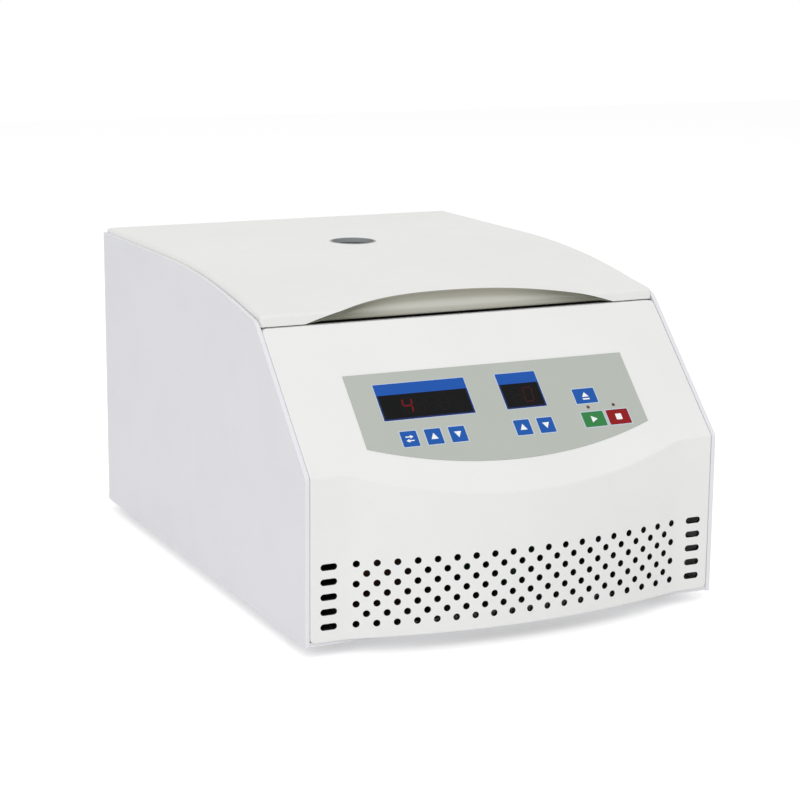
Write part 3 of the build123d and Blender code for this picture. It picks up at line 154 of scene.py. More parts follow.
class Graph:
    """The node graph of one material with a Principled shader, or of the world with its background."""

    def __init__(self, name: str, world: bool = False) -> None:
        """Make an empty material, or a world.

        Args:
            name: Its name.
            world: Whether it is a world.
        """
        self.material = bpy.data.worlds.new(name) if world else bpy.data.materials.new(name)
        self.material.use_nodes = True
        self.tree = self.material.node_tree
        self.shader = self.tree.nodes["Background" if world else "Principled BSDF"]
        self._place: Signal | None = None

    @property
    def place(self) -> Signal:
        """Find the point on the piece.

        Returns:
            Its coordinates, in metres in the machine's frame.
        """
        if self._place is None:
            self._place = self.node("ShaderNodeTexCoord", {}, {}, "Object")
        return self._place

    def node(self, kind: str, settings: dict[str, Any], inputs: dict[int | str, Any],
             out: int | str = 0) -> Signal:
        """Add a node.

        Args:
            kind: The node's type name.
            settings: Properties set before its inputs.
            inputs: Values or signals for its sockets, by name or place.
            out: The output that is wanted, by name or place.

        Returns:
            That output.
        """
        made = self.tree.nodes.new(kind)
        for key, value in settings.items():
            setattr(made, key, value)
        for key, value in inputs.items():
            self.feed(made.inputs[key], value)
        return Signal(self, made.outputs[out])

    def feed(self, socket: bpy.types.NodeSocket, value: Any) -> None:
        """Set a socket to a value, or link a signal to it.

        Args:
            socket: The input socket.
            value: A number, a colour or a signal.
        """
        if isinstance(value, Signal):
            self.tree.links.new(value.socket, socket)
        else:
            socket.default_value = value

    def set(self, **inputs: Any) -> None:
        """Set or link the shader's own sockets, with _ for a space."""
        for key, value in inputs.items():
            self.feed(self.shader.inputs[key.replace("_", " ")], value)

    def axis(self, name: str) -> Signal:
        """One coordinate of the point."""
        return self.node("ShaderNodeSeparateXYZ", {}, {0: self.place}, name)

    def stretched(self, scale: Triple) -> Signal:
        """The point with its axes scaled, for streaks and brushing."""
        return self.node("ShaderNodeMapping", {}, {"Vector": self.place, "Scale": scale})

    def noise(self, scale: float, detail: float = 3.0, rough: float = 0.5,
              where: Signal | None = None) -> Signal:
        """Fractal noise, nought to one, with a scale in cells a metre."""
        inputs = {"Vector": where or self.place, "Scale": scale, "Detail": detail, "Roughness": rough}
        return self.node("ShaderNodeTexNoise", {}, inputs)

    def mix(self, factor: Any, low: Any, high: Any) -> Signal:
        """A colour between two others."""
        return self.node("ShaderNodeMix", {"data_type": "RGBA"}, {0: factor, 6: low, 7: high}, 2)

    def seen(self) -> Signal:
        """Tell the rays that show the background: straight from the camera, mirrored or through glass.

        Returns:
            One for those rays, nought for the rest.
        """
        kinds = ("Is Camera Ray", "Is Glossy Ray", "Is Transmission Ray")
        straight, bounced, through = (self.node("ShaderNodeLightPath", {}, {}, kind) for kind in kinds)
        return (straight + bounced + through).clamp()

    def bump(self, height: Signal, distance: float) -> Signal:
        """A normal that follows a height, with its depth in metres."""
        return self.node("ShaderNodeBump", {}, {"Strength": 1.0, "Distance": distance, "Height": height})


# ---------------------------------------------------------------- finishes


@dataclass(frozen=True)
class Finish:
    """What every finish shares. The scale of a grain is in cells a metre, and its depth in metres."""

    name: str

    def paint(self, g: Graph) -> None:
        """Each finish sets its shader's sockets here."""
        raise NotImplementedError

    def make(self) -> bpy.types.Material:
        """Build the material.

        Returns:
            The material, under the finish's name.
        """
        g = Graph(self.name)
        self.paint(g)
        return g.material


@dataclass(frozen=True)
class Coating(Finish):
    """Powder coat or moulded plastic: even colour, fine grain, faint handling marks."""

    color: str
    roughness: float = 0.4
    grain: float = 900.0
    depth: float = 0.00002
    drift: float = 0.07
    broad: float = 9.0
    smudge: float = 38.0

    def paint(self, g: Graph) -> None:
        """Drift the colour, smudge it and grain the surface.

        Args:
            g: The material's graph.
        """
        base = srgb(self.color)
        broad = g.noise(self.broad, 4.0).between(0.25, 0.85)
        grain = g.noise(self.grain, 2.0, 0.6)
        smudge = g.noise(self.smudge, 5.0, 0.65).between(0.52, 0.74)
        g.set(Base_Color=g.mix(broad * 0.5 + smudge * 0.12, base, shaded(base, 1 - self.drift)))
        g.set(Roughness=(grain - 0.5) * 0.1 + self.roughness + smudge * 0.07)
        g.set(Normal=g.bump(grain, self.depth))


@dataclass(frozen=True)
class PaintedRecessShade(Finish):
    """Finger scoop moulding with painted shade: dark under the lip, over its front edge and at its ends,
    paler on its open floor.
    """

    # colours of the painted shade: under the lip, on the open floor where light reaches, and at the ends
    deep: str
    pale: str
    ends: str
    nose: float = -149.3
    floor: float = 270.5
    chord: float = 154.0
    rise: float = 11.0
    reach: float = 16.0
    grain: float = 800.0
    depth: float = 0.00002
    smudge: float = 60.0

    def paint(self, g: Graph) -> None:
        """Paint shade into the recess's colour, from its lip down to its open floor.

        Args:
            g: The material's graph.
        """
        x = g.axis("X") / (self.chord * MM)
        height = (1 - x * x) * (self.rise * MM) + 0.6 * MM
        # painted shade: darker up the wall under the lip
        up = ((g.axis("Z") - self.floor * MM) / height).between(0.06, 0.42)
        # painted shade: darker over the floor's front edge, where it rolls into the gap
        front = 1 - (g.axis("Y") - self.nose * MM).between(0.0, self.reach * MM)
        # painted shade: darker towards the scoop's ends
        outer = (x * x).between(0.05, 0.75)
        grain = g.noise(self.grain, 2.0, 0.6)
        smudge = g.noise(self.smudge, 5.0, 0.65).between(0.5, 0.8)
        # the painted shade at each point, with a little random smudge
        shade = 1 - (1 - up) * (1 - front * 0.75) * (1 - smudge * 0.06)
        body = g.mix(shade, srgb(self.pale), srgb(self.deep))
        # the scoop's ends take the darkest painted shade
        g.set(Base_Color=g.mix(outer * 0.9, body, srgb(self.ends)), Specular_IOR_Level=0.25)
        g.set(Roughness=(grain - 0.5) * 0.1 + 0.5, Normal=g.bump(grain, self.depth))


@dataclass(frozen=True)
class Film(Finish):
    """Printed polyester film: one colour with a fine pebbled grain."""

    color: str
    roughness: float = 0.5
    specular: float = 0.5
    pebbles: float = 2600.0
    depth: float = 0.000012
    blotches: float = 26.0

    def paint(self, g: Graph) -> None:
        """Blotch the colour a little and pebble the surface.

        Args:
            g: The material's graph.
        """
        base = srgb(self.color)
        pebble = g.node("ShaderNodeTexVoronoi", {}, {"Vector": g.place, "Scale": self.pebbles})
        g.set(Base_Color=g.mix(g.noise(self.blotches), base, shaded(base, 1.06)))
        g.set(Roughness=pebble * 0.1 + self.roughness - 0.03, Normal=g.bump(pebble, self.depth))
        g.set(Specular_IOR_Level=self.specular)


@dataclass(frozen=True)
class Rubber(Finish):
    """Moulded or sponge rubber with a dusty bloom."""

    color: str
    cells: float = 1500.0
    depth: float = 0.00004
    specular: float = 0.4
    dust: float = 60.0

    def paint(self, g: Graph) -> None:
        """Dust the colour and give the surface its cells.

        Args:
            g: The material's graph.
        """
        base = srgb(self.color)
        dust = g.noise(self.dust, 5.0, 0.7).between(0.45, 0.8)
        g.set(Base_Color=g.mix(dust, base, shaded(base, 1.6, 0.03 * self.specular)))
        g.set(Roughness=dust * 0.15 + 0.68, Normal=g.bump(g.noise(self.cells, 2.0), self.depth))
        g.set(Specular_IOR_Level=self.specular)


class Lay(Enum):
    """Which way the grain of a metal runs."""

    NONE = 0
    ALONG_X = 1
    ALONG_Y = 2
    ROUND_AXIS = 3


@dataclass(frozen=True)
class Metal(Finish):
    """Bare or plated metal with brushing, turning marks or cast grain."""

    color: str
    roughness: float = 0.3
    lay: Lay = Lay.NONE
    depth: float = 0.000015
    stain: float = 0.25
    centre_y: float = 0.0
    cast: float = 700.0
    brush: float = 2400.0
    draw: float = 0.03
    marks: float = 45.0

    def streaks(self, g: Graph) -> Signal:
        """The grain: cast, drawn out along an axis, or turned round the spindle.

        Args:
            g: The material's graph.

        Returns:
            Nought to one over the surface.
        """
        if self.lay is Lay.NONE:
            return g.noise(self.cast, 4.0, 0.6)
        if self.lay is Lay.ROUND_AXIS:
            x, y = g.axis("X"), g.axis("Y") - self.centre_y * MM
            where = g.node("ShaderNodeCombineXYZ", {}, {0: (x * x + y * y) ** 0.5, 1: 0.0, 2: g.axis("Z")})
        else:
            where = g.stretched((self.draw, 1.0, 1.0) if self.lay is Lay.ALONG_X else (1.0, self.draw, 1.0))
        return g.noise(self.brush, 2.0, 0.6, where)

    def paint(self, g: Graph) -> None:
        """Streak and stain the metal.

        Args:
            g: The material's graph.
        """
        base = srgb(self.color)
        streak = self.streaks(g)
        mark = g.noise(self.marks, 5.0, 0.6).between(0.4, 0.8)
        g.set(Base_Color=g.mix(mark * 0.5 + streak * 0.35, base, shaded(base, 1 - self.stain)))
        g.set(Roughness=streak * 0.16 + self.roughness - 0.05 + mark * 0.08)
        g.set(Normal=g.bump(streak, self.depth), Metallic=1.0)


@dataclass(frozen=True)
class Window(Finish):
    """Dark tinted display filter, a little cloudy and dusty."""

    color: str
    warm: str
    clouds: float = 55.0
    dust: float = 1300.0
    depth: float = 0.000004

    def paint(self, g: Graph) -> None:
        """Cloud the tint and dust the surface.

        Args:
            g: The material's graph.
        """
        cloud = g.noise(self.clouds).between(0.35, 0.75)
        dust = g.noise(self.dust, 2.0).between(0.6, 0.8)
        g.set(Base_Color=g.mix(cloud, srgb(self.color), srgb(self.warm)), Specular_IOR_Level=0.12)
        g.set(Roughness=dust * 0.12 + 0.2, Normal=g.bump(dust, self.depth))


@dataclass(frozen=True)
class Glass(Finish):
    """Tinted glazing with a few smears."""

    color: str
    clear: float = 0.55
    smears: float = 70.0

    def paint(self, g: Graph) -> None:
        """Smear the glazing.

        Args:
            g: The material's graph.
        """
        smear = g.noise(self.smears, 4.0, 0.6).between(0.45, 0.8)
        g.set(Base_Color=srgb(self.color), Roughness=smear * 0.12 + 0.05, Alpha=smear * 0.06 + 1 - self.clear)
        g.set(Specular_IOR_Level=0.6, Coat_Weight=0.4, Coat_Roughness=0.05)


@dataclass(frozen=True)
class Lamp(Finish):
    """A lit display segment."""

    color: str
    glow: str
    strength: float
    spread: float = 900.0

    def paint(self, g: Graph) -> None:
        """Let the glow vary a little over the segment.

        Args:
            g: The material's graph.
        """
        glow = srgb(self.glow)
        spread = g.noise(self.spread, 2.0).between(0.2, 0.8)
        g.set(Base_Color=srgb(self.color), Roughness=spread * 0.1 + 0.3, Specular_IOR_Level=0.12)
        g.set(Emission_Color=g.mix(spread, glow, shaded(glow, 0.75)), Emission_Strength=self.strength)


@dataclass(frozen=True)
class Board(Finish):
    """Circuit board: solder mask with faint copper tracks under it."""

    mask: str
    track: str
    tracks: float = 90.0
    weave: float = 400.0
    depth: float = 0.00003

    def paint(self, g: Graph) -> None:
        """Lay the tracks under the mask.

        Args:
            g: The material's graph.
        """
        inputs = {"Vector": g.place, "Scale": self.tracks, "Mortar Size": 0.08}
        tracks = g.node("ShaderNodeTexBrick", {}, inputs, 1)
        fine = g.noise(self.weave, 2.0)
        g.set(Base_Color=g.mix(tracks * 0.7 + fine * 0.2, srgb(self.mask), srgb(self.track)))
        g.set(Roughness=fine * 0.1 + 0.32, Normal=g.bump(tracks, self.depth))


@dataclass(frozen=True)
class Winding(Finish):
    """Varnished copper winding, turn beside turn, with painted shade in the grooves between turns."""

    # gap: painted shade in the grooves between turns; wire: the copper's own colour
    gap: str
    wire: str
    turns: float = 900.0
    depth: float = 0.0002

    def paint(self, g: Graph) -> None:
        """Ridge the surface with one arch for each turn of wire, and paint shade into the grooves between
        turns.

        Args:
            g: The material's graph.
        """
        turn = (g.axis("Z") * self.turns).fract()
        ridge = turn * (1 - turn) * 4.0
        # colour runs from painted groove shade to the wire's colour over each arch
        g.set(Base_Color=g.mix(ridge, srgb(self.gap), srgb(self.wire)), Metallic=0.4)
        g.set(Roughness=ridge * 0.2 + 0.3, Normal=g.bump(ridge, self.depth))


# ---------------------------------------------------------------- meshes


def box_mm(node: str) -> tuple[np.ndarray, np.ndarray]:
    """A frame node's lowest and highest corners, in millimetres."""
    low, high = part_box(node)
    return np.array(low) / MM, np.array(high) / MM


def unit(vectors: np.ndarray) -> np.ndarray:
    """Vectors scaled to length one."""
    return vectors / np.maximum(np.linalg.norm(vectors, axis=-1, keepdims=True), 1e-9)


def beside(*parts: Any) -> np.ndarray:
    """Coordinates set side by side, where one number stands for every point."""
    return np.stack(np.broadcast_arrays(*parts), axis=-1)


def mirrored(points: np.ndarray) -> np.ndarray:
    """Flat points moved to the other side of the middle, in reverse order."""
    return points[::-1] * (-1, 1)


def ring(middle: Point, radius: float, steps: int = 24) -> np.ndarray:
    """Points round a circle, anticlockwise."""
    turn = np.arange(steps) * 2 * math.pi / steps
    return beside(middle[0] + radius * np.cos(turn), middle[1] + radius * np.sin(turn))


def rounded(middle: Point, width: float, height: float, radius: float, steps: int = 5) -> np.ndarray:
    """Points round a rectangle with arcs at its corners, anticlockwise.

    Args:
        middle: The rectangle's middle.
        width: Its size across.
        height: Its size up.
        radius: Radius of the arcs.
        steps: Runs in each arc.

    Returns:
        The loop, one point a row.
    """
    radius = max(radius, 0.01)
    corners = []
    for number, (sx, sy) in enumerate(((1, 1), (-1, 1), (-1, -1), (1, -1))):
        cx = middle[0] + sx * (width / 2 - radius)
        cy = middle[1] + sy * (height / 2 - radius)
        for step in range(steps + 1):
            turn = math.pi / 2 * (number + step / steps)
            corners.append((cx + radius * math.cos(turn), cy + radius * math.sin(turn)))
    return np.array(corners)


def outward(loop: np.ndarray) -> np.ndarray:
    """Unit normals in the plane of an anticlockwise loop, at its points."""
    along = unit(np.roll(loop, -1, axis=0) - loop) + unit(loop - np.roll(loop, 1, axis=0))
    return unit(beside(along[:, 1], -along[:, 0]))


def add_object(name: str, data: bpy.types.ID) -> bpy.types.Object:
    """Put a new object in the scene.

    Args:
        name: Its name.
        data: Its mesh, lamp or camera.

    Returns:
        The object.
    """
    made = bpy.data.objects.new(name, data)
    bpy.context.scene.collection.objects.link(made)
    return made


Placer = Callable[[np.ndarray], tuple[np.ndarray, np.ndarray]]


def flat_placer(origin: np.ndarray, across: np.ndarray, up: np.ndarray) -> Placer:
    """Make a placer on a plane.

    Args:
        origin: Where both coordinates are nought.
        across: Direction of the first.
        up: Direction of the second.

    Returns:
        A function from flat points to places and normals.
    """
    facing = np.cross(across, up)

    def place(flat: np.ndarray) -> tuple[np.ndarray, np.ndarray]:
        """Places and normals of flat points."""
        places = origin + flat[:, :1] * across + flat[:, 1:2] * up
        return places, np.broadcast_to(facing, places.shape)

    return place


class Skin:
    """A surface gathered in millimetres from strips and patches, each point with its own normal."""

    def __init__(self) -> None:
        """Start with nothing."""
        self.points: list[np.ndarray] = []
        self.normals: list[np.ndarray] = []
        self.faces: list[tuple[int, ...]] = []
        self.marks: list[int] = []
        self.count = 0

    def add(self, points: np.ndarray, normals: np.ndarray) -> int:
        """Take in points with their normals.

        Args:
            points: The points, in any array that ends in three.
            normals: As many normals.

        Returns:
            The place of the first one.
        """
        first = self.count
        self.points.append(points.reshape(-1, 3))
        self.normals.append(unit(normals.reshape(-1, 3)))
        self.count += len(self.points[-1])
        return first

    def grid(self, points: Rows, normals: Rows, mark: int = 0, closed: bool = False) -> None:
        """Join rows and columns of points with four-sided faces.

        Args:
            points: Rows by columns by three.
            normals: As many normals.
            mark: Which finish the faces take.
            closed: Whether the last column joins the first.
        """
        points, normals = np.array(points), np.array(normals)
        rows, columns = points.shape[:2]
        first = self.add(points, normals)
        for row in range(rows - 1):
            here = first + row * columns
            there = here + columns
            for column in range(columns if closed else columns - 1):
                after = (column + 1) % columns
                self.faces.append((here + column, here + after, there + after, there + column))
                self.marks.append(mark)

    def patch(self, outline: np.ndarray, holes: Iterable[np.ndarray], placer: Placer, mark: int = 0,
              inner: Sequence[Point] = ()) -> None:
        """Fill an outline with triangles and leave its holes open.

        Args:
            outline: Points round the outside, in the placer's two coordinates.
            holes: Convex loops that stay open.
            placer: Turns flat points into places and normals.
            mark: Which finish the faces take.
            inner: More points inside, for a surface that bends.
        """
        flat, edges, owner = [], [], []
        for number, loop in enumerate([outline, *holes]):
            first = len(flat)
            flat += [Vector((float(u), float(v))) for u, v in loop]
            edges += [(first + i, first + (i + 1) % len(loop)) for i in range(len(loop))]
            owner += [number] * len(loop)
        flat += [Vector((float(u), float(v))) for u, v in inner]
        owner += [-1] * len(inner)
        made, _, triangles, origins, _, _ = delaunay_2d_cdt(flat, edges, [], 1, 1e-6)
        owners = [owner[origin[0]] if origin else -1 for origin in origins]
        first = self.add(*placer(np.array([[p.x, p.y] for p in made])))
        for triangle in triangles:
            holders = {owners[i] for i in triangle}
            if len(holders) == 1 and holders.pop() > 0:
                continue
            self.faces.append(tuple(first + i for i in triangle))
            self.marks.append(mark)

    def rim(self, base: np.ndarray, normal: np.ndarray, wall: np.ndarray, radius: float | np.ndarray,
            down: np.ndarray, depth: float | np.ndarray, mark: int = 0, closed: bool = True,
            steps: int = 3) -> None:
        """Roll a boundary over an edge radius and on down a wall.

        Args:
            base: Boundary points of the surface.
            normal: The surface's normals there.
            wall: The wall's normals there.
            radius: Radius of the edge, for all points or for each.
            down: Directions in which the wall runs.
            depth: How far the wall runs past the radius.
            mark: Which finish the faces take.
            closed: Whether the boundary is a loop.
            steps: Faces round the radius.
        """
        normal, wall, down = unit(normal), unit(wall), unit(np.broadcast_to(down, base.shape))
        bend = np.arccos(np.clip((normal * wall).sum(-1, keepdims=True), -1, 1))
        radius = np.reshape(radius, (-1, 1))
        centre = base - normal * radius
        shares = [step / steps for step in range(steps + 1)]
        turns = [unit(np.sin((1 - share) * bend) * normal + np.sin(share * bend) * wall) for share in shares]
        rows = [centre + radius * facing for facing in turns]
        self.grid(rows, turns, mark, closed)
        if np.max(depth) > 0:
            self.grid([rows[-1], rows[-1] + down * np.reshape(depth, (-1, 1))], [wall, wall], mark, closed)

    def build(self, name: str, finishes: Sequence[bpy.types.Material]) -> bpy.types.Object:
        """Make the Blender object.

        Args:
            name: The piece's name.
            finishes: One material for each mark.

        Returns:
            The object, in metres.
        """
        points = np.concatenate(self.points)
        normals = np.concatenate(self.normals)
        faces = []
        for face in self.faces:
            corner = points[list(face)]
            across = np.cross(corner[2] - corner[0], corner[-1] - corner[1])
            facing = across @ normals[list(face)].sum(0)
            faces.append(face if facing > 0 else face[::-1])
        mesh = bpy.data.meshes.new(name)
        mesh.from_pydata((points * MM).tolist(), [], faces)
        mesh.polygons.foreach_set("material_index", self.marks)
        mesh.polygons.foreach_set("use_smooth", [True] * len(faces))
        mesh.normals_split_custom_set_from_vertices(normals.tolist())
        for finish in finishes:
            mesh.materials.append(finish)
        return add_object(name, mesh)


# points nearer than this are one, faces that turn by less are one, and edges that turn by more are broken
WELD = 0.005
FLAT = math.radians(0.5)
SHARP = math.radians(28.0)
BEVEL_STEPS = 2


@dataclass
class Workshop:
    """What every sub-assembly shares: its finishes, and the ways a piece is made ready."""

    finishes: dict[str, bpy.types.Material]

    def fit(self, piece: bpy.types.Object, body: str, slot: str, node: str) -> None:
        """Let a piece ride on a body and stand for a node.

        Args:
            piece: The piece.
            body: The body that carries it.
            slot: The record's material slot; not used.
            node: The frame node.
        """
        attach(piece, body)
        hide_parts(node)
        LOG.info("made %s: %d faces on %s", piece.name, len(piece.data.polygons), body)

    def form(self, skin: Skin, name: str, finishes: Sequence[str], body: str, slot: str, node: str) -> None:
        """Turn a skin into a piece that stands for a node, with a finish for each mark."""
        self.fit(skin.build(name, [self.finishes[finish] for finish in finishes]), body, slot, node)

    def dress(self, finish: str, *nodes: str) -> None:
        """Give frame nodes a finish.

        Args:
            finish: Name of the finish.
            nodes: The nodes, whose shapes stay as they are.
        """
        for node in nodes:
            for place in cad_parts[node].material_slots:
                place.material = self.finishes[finish]
            LOG.info("dressed %s in %s", node, finish)

    def eased(self, node: str, reshape: Callable[[Vector], None] | None) -> bpy.types.Mesh:
        """Copy a node's mesh without its seams, creases and own normals.

        Args:
            node: The frame node.
            reshape: Moves one point of the copy, in metres.

        Returns:
            The copy.
        """
        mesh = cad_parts[node].data.copy()
        mesh.name = node + "_form"
        shape = bmesh.new()
        shape.from_mesh(mesh)
        bmesh.ops.remove_doubles(shape, verts=shape.verts, dist=WELD * MM)
        bmesh.ops.dissolve_limit(shape, angle_limit=FLAT, verts=shape.verts, edges=shape.edges)
        for vertex in shape.verts if reshape else ():
            reshape(vertex.co)
        for part in (*shape.edges, *shape.faces):
            part.smooth = True
        shape.to_mesh(mesh)
        shape.free()
        carried = mesh.attributes.get("custom_normal")
        if carried:
            mesh.attributes.remove(carried)
        return mesh

    def soften(self, body: str, finish: str, width: float, *nodes: str,
               reshape: Callable[[Vector], None] | None = None) -> None:
        """Copy rigid nodes with their sharp edges broken, each as a piece that stands for its node.

        Args:
            body: The body that carries them.
            finish: Name of their finish.
            width: Width of the broken edge.
            nodes: The frame nodes.
            reshape: Moves one point of a copy, in metres.
        """
        for node in nodes:
            piece = add_object(node + "_form", self.eased(node, reshape))
            bevel = piece.modifiers.new("edges", "BEVEL")
            bevel.limit_method = "ANGLE"
            bevel.angle_limit = SHARP
            bevel.width = width * MM
            bevel.segments = BEVEL_STEPS
            bevel.use_clamp_overlap = True
            piece.modifiers.new("shade", "WEIGHTED_NORMAL").keep_sharp = False
            whole = piece.evaluated_get(bpy.context.evaluated_depsgraph_get())
            piece.data = bpy.data.meshes.new_from_object(whole)
            piece.modifiers.clear()
            piece.data.materials.clear()
            piece.data.materials.append(self.finishes[finish])
            self.fit(piece, body, finish, node)


# ---------------------------------------------------------------- layout of the slope


class Icon(Enum):
    """Plain picture on a key."""

    UP = "up"
    DOWN = "down"
    SWAP = "swap"
    EJECT = "eject"
    RUN = "run"
    HALT = "halt"


class Tint(Enum):
    """Colour of a key."""

    BLUE = "blue"
    GREEN = "green"
    RED = "red"


@dataclass(frozen=True)
class Key:
    """One key: its node, its middle across and up the slope, its width, colour and icon."""

    node: str
    across: float
    up: float
    width: float
    tint: Tint
    icon: Icon
    height: float = 15.2

    def loop(self, grow: float, radius: float) -> np.ndarray:
        """Points round the key, its two sizes grown by an amount."""
        return rounded((self.across, self.up), self.width + grow, self.height + grow, radius, 3)


KEYS = (
    Key("key_mode", -96.0, 27.8, 15.2, Tint.BLUE, Icon.SWAP),
    Key("key_speed_up", -73.1, 27.8, 15.2, Tint.BLUE, Icon.UP),
    Key("key_speed_down", -50.2, 27.8, 15.2, Tint.BLUE, Icon.DOWN),
    Key("key_time_up", 13.0, 27.8, 15.2, Tint.BLUE, Icon.UP),
    Key("key_time_down", 35.9, 27.8, 15.2, Tint.BLUE, Icon.DOWN),
    Key("key_open", 84.7, 53.3, 21.8, Tint.BLUE, Icon.EJECT),
    Key("key_start", 84.7, 28.8, 21.8, Tint.GREEN, Icon.RUN),
    Key("key_stop", 109.8, 28.8, 21.8, Tint.RED, Icon.HALT),
)
# middle across and up the slope, width and height
WINDOWS = ((-69.9, 60.5, 84.0, 24.0), (24.3, 60.5, 36.5, 24.0))
LAMPS = ((83.4, 41.5), (109.2, 41.5))
CLEARANCE = 0.6
OPENING_CORNER = 0.6
LAMP_OPENING = 3.8


def slope_openings() -> list[np.ndarray]:
    """Points round each opening that the keypad covers.

    Returns:
        A loop for each window, key and lamp.
    """
    places = [(x, s, w + CLEARANCE, h + CLEARANCE) for x, s, w, h in WINDOWS]
    places += [(key.across, key.up, key.width + CLEARANCE, key.height + CLEARANCE) for key in KEYS]
    places += [(x, s, LAMP_OPENING, LAMP_OPENING) for x, s in LAMPS]
    return [rounded((x, s), w, h, OPENING_CORNER) for x, s, w, h in places]


# ---------------------------------------------------------------- console


@dataclass
class Console(Workshop):
    """The moulded front: bowed vented face, smile edge, and the slope that carries the keypad."""

    bow_chord: float = 322.0
    bow_rise: float = 23.3
    bend_z: float = 157.5
    bow_edge: float = 4.0
    bend_edge: float = 3.0
    flange: float = 9.0
    skirt: float = 12.0
    wall: float = 3.0
    corner: float = 5.0
    edge: float = 1.0
    crease: float = 1.6
    vent_radius: float = 2.85
    vent_lip: float = 0.15
    vent_pitch: float = 17.21
    vent_row: float = 8.76
    vent_columns: int = 19
    vent_middle: float = 54.6
    slot_length: float = 14.8
    slot_height: float = 5.4
    slot_across: float = 179.0
    slot_pitch: float = 12.98
    vent_reach: int = 3
    slot_reach: int = 2
    inner_columns: int = 38
    outer_columns: int = 6
    side_rows: int = 12
    rows: int = 8
    drop: float = 1.2
    widen: float = 0.8
    notch: float = 4.0
    band: float = 12.0
    opening_lip: float = 0.1
    # places and heights of the points inside the face, where it bends
    bow_span: float = 170.0
    bow_heights: tuple[float, ...] = (16.0, 20.5, 86.0, 96.0, 106.0)
    crease_places: tuple[float, ...] = (163.5, 167.0, 170.5)
    crease_heights: tuple[float, ...] = (30.0, 45.0, 60.0, 75.0, 115.0, 130.0)

    def __post_init__(self) -> None:
        """Read the panel's place from the frame."""
        low, high = box_mm("front_panel")
        self.half = high[0] + self.widen
        self.bottom = low[2] - self.drop
        crest_y, crest_z = high[1] - self.flange, high[2]
        front_y = low[1] + self.bow_rise
        self.slope = math.atan2(crest_z - self.bend_z, crest_y - front_y)
        self.turn = math.pi / 2 - self.slope
        self.radius = (self.bow_chord**2 / 4 + self.bow_rise**2) / (2 * self.bow_rise)
        self.crest_back = CREST_DROP / math.tan(self.slope)
        self.top = math.hypot(crest_y - front_y, crest_z - self.bend_z)
        self.top -= CREST_DROP / math.sin(self.slope)
        self.up = np.array([0.0, math.cos(self.slope), math.sin(self.slope)])
        self.facing = np.array([0.0, -math.sin(self.slope), math.cos(self.slope)])
        self.origin = np.array([0.0, front_y, self.bend_z])
        self.front_y = front_y
        self.on_slope = self.level(0.0)

    def level(self, height: float) -> Placer:
        """A placer on the slope, raised by a height."""
        return flat_placer(self.origin + self.facing * height, RIGHT, self.up)

    def sideways(self, loop: np.ndarray) -> np.ndarray:
        """Directions out of a loop that lies along the slope."""
        flat = outward(loop)
        return flat[:, :1] * RIGHT + flat[:, 1:] * self.up

    def walled(self, skin: Skin, loop: np.ndarray, placer: Placer, edge: float, depth: float) -> None:
        """Round the outside of a patch that lies along the slope and run its wall in."""
        base, normal = placer(loop)
        skin.rim(base, normal, self.sideways(loop), edge, -self.facing, depth)

    def bore(self, skin: Skin, loop: np.ndarray, placer: Placer, lip: float, down: np.ndarray, depth: float,
             mark: int = 0) -> None:
        """Round the lip of a hole and run its wall back.

        Args:
            skin: The surface being gathered.
            loop: The hole's loop in the patch.
            placer: The patch's placer.
            lip: Radius of the lip.
            down: Direction of the wall.
            depth: Length of the wall.
            mark: Finish of the wall.
        """
        base, normal = placer(loop)
        inward = placer(loop - outward(loop) * 0.01)[0] - base
        inward = inward - normal * (inward * normal).sum(-1, keepdims=True)
        skin.rim(base, normal, inward, lip, down, depth, mark)

    def proud(self, x: np.ndarray) -> np.ndarray:
        """How far the face stands in front of its flat margins, eased where the two meet.

        Args:
            x: Places across.

        Returns:
            As many distances.
        """
        reach = np.clip(np.abs(x), 0, self.radius - 1)
        raw = np.sqrt(self.radius**2 - reach**2) - (self.radius - self.bow_rise)
        eased = (raw + np.sqrt(raw**2 + self.crease**2)) / 2
        return eased * self.bow_rise / ((self.bow_rise + math.hypot(self.bow_rise, self.crease)) / 2)

    def lean(self, x: np.ndarray) -> np.ndarray:
        """How fast the face falls back across its width."""
        return (self.proud(x - 0.05) - self.proud(x + 0.05)) / 0.1

    def edge_radius(self, x: np.ndarray) -> np.ndarray:
        """Radius of the edge between face and slope."""
        return self.bend_edge + (self.bow_edge - self.bend_edge) * np.clip(self.proud(x) / 10, 0, 1)

    def face_top(self, x: np.ndarray) -> np.ndarray:
        """Height at which the face starts to turn into the slope."""
        meet = self.bend_z - self.proud(x) * math.tan(self.slope)
        return meet - self.edge_radius(x) * math.tan(self.turn / 2)

    def on_face(self, flat: np.ndarray) -> tuple[np.ndarray, np.ndarray]:
        """Places and normals on the bowed face, from across and height."""
        x, z = flat[:, 0], flat[:, 1]
        return beside(x, self.front_y - self.proud(x), z), unit(beside(self.lean(x), -1.0, 0.0))

    def on_edge(self, x: np.ndarray, share: float) -> tuple[np.ndarray, np.ndarray]:
        """Find one row of the rounded edge.

        Args:
            x: Places across.
            share: Nought at the face, one at the slope.

        Returns:
            Places and normals.
        """
        turn = self.turn * share
        radius = self.edge_radius(x)
        y = self.front_y - self.proud(x) + radius * (1 - math.cos(turn))
        z = self.face_top(x) + radius * math.sin(turn)
        lean = self.lean(x) * (1 - share) * math.cos(turn)
        return beside(x, y, z), unit(beside(lean, -math.cos(turn), math.sin(turn)))

    def columns(self) -> np.ndarray:
        """Places across, closer together where the bow meets its margins.

        Returns:
            The places, from left to right.
        """
        bend = self.bow_chord / 2
        outer = np.arange(bend - self.band, bend + self.band + 0.1, 1.0)
        inner = np.linspace(0, bend - self.band, self.inner_columns)[:-1]
        margin = np.linspace(bend + self.band, self.half - self.edge, self.outer_columns)[1:]
        half = np.concatenate([inner, outer, margin])
        return np.concatenate([-half[:0:-1], half])

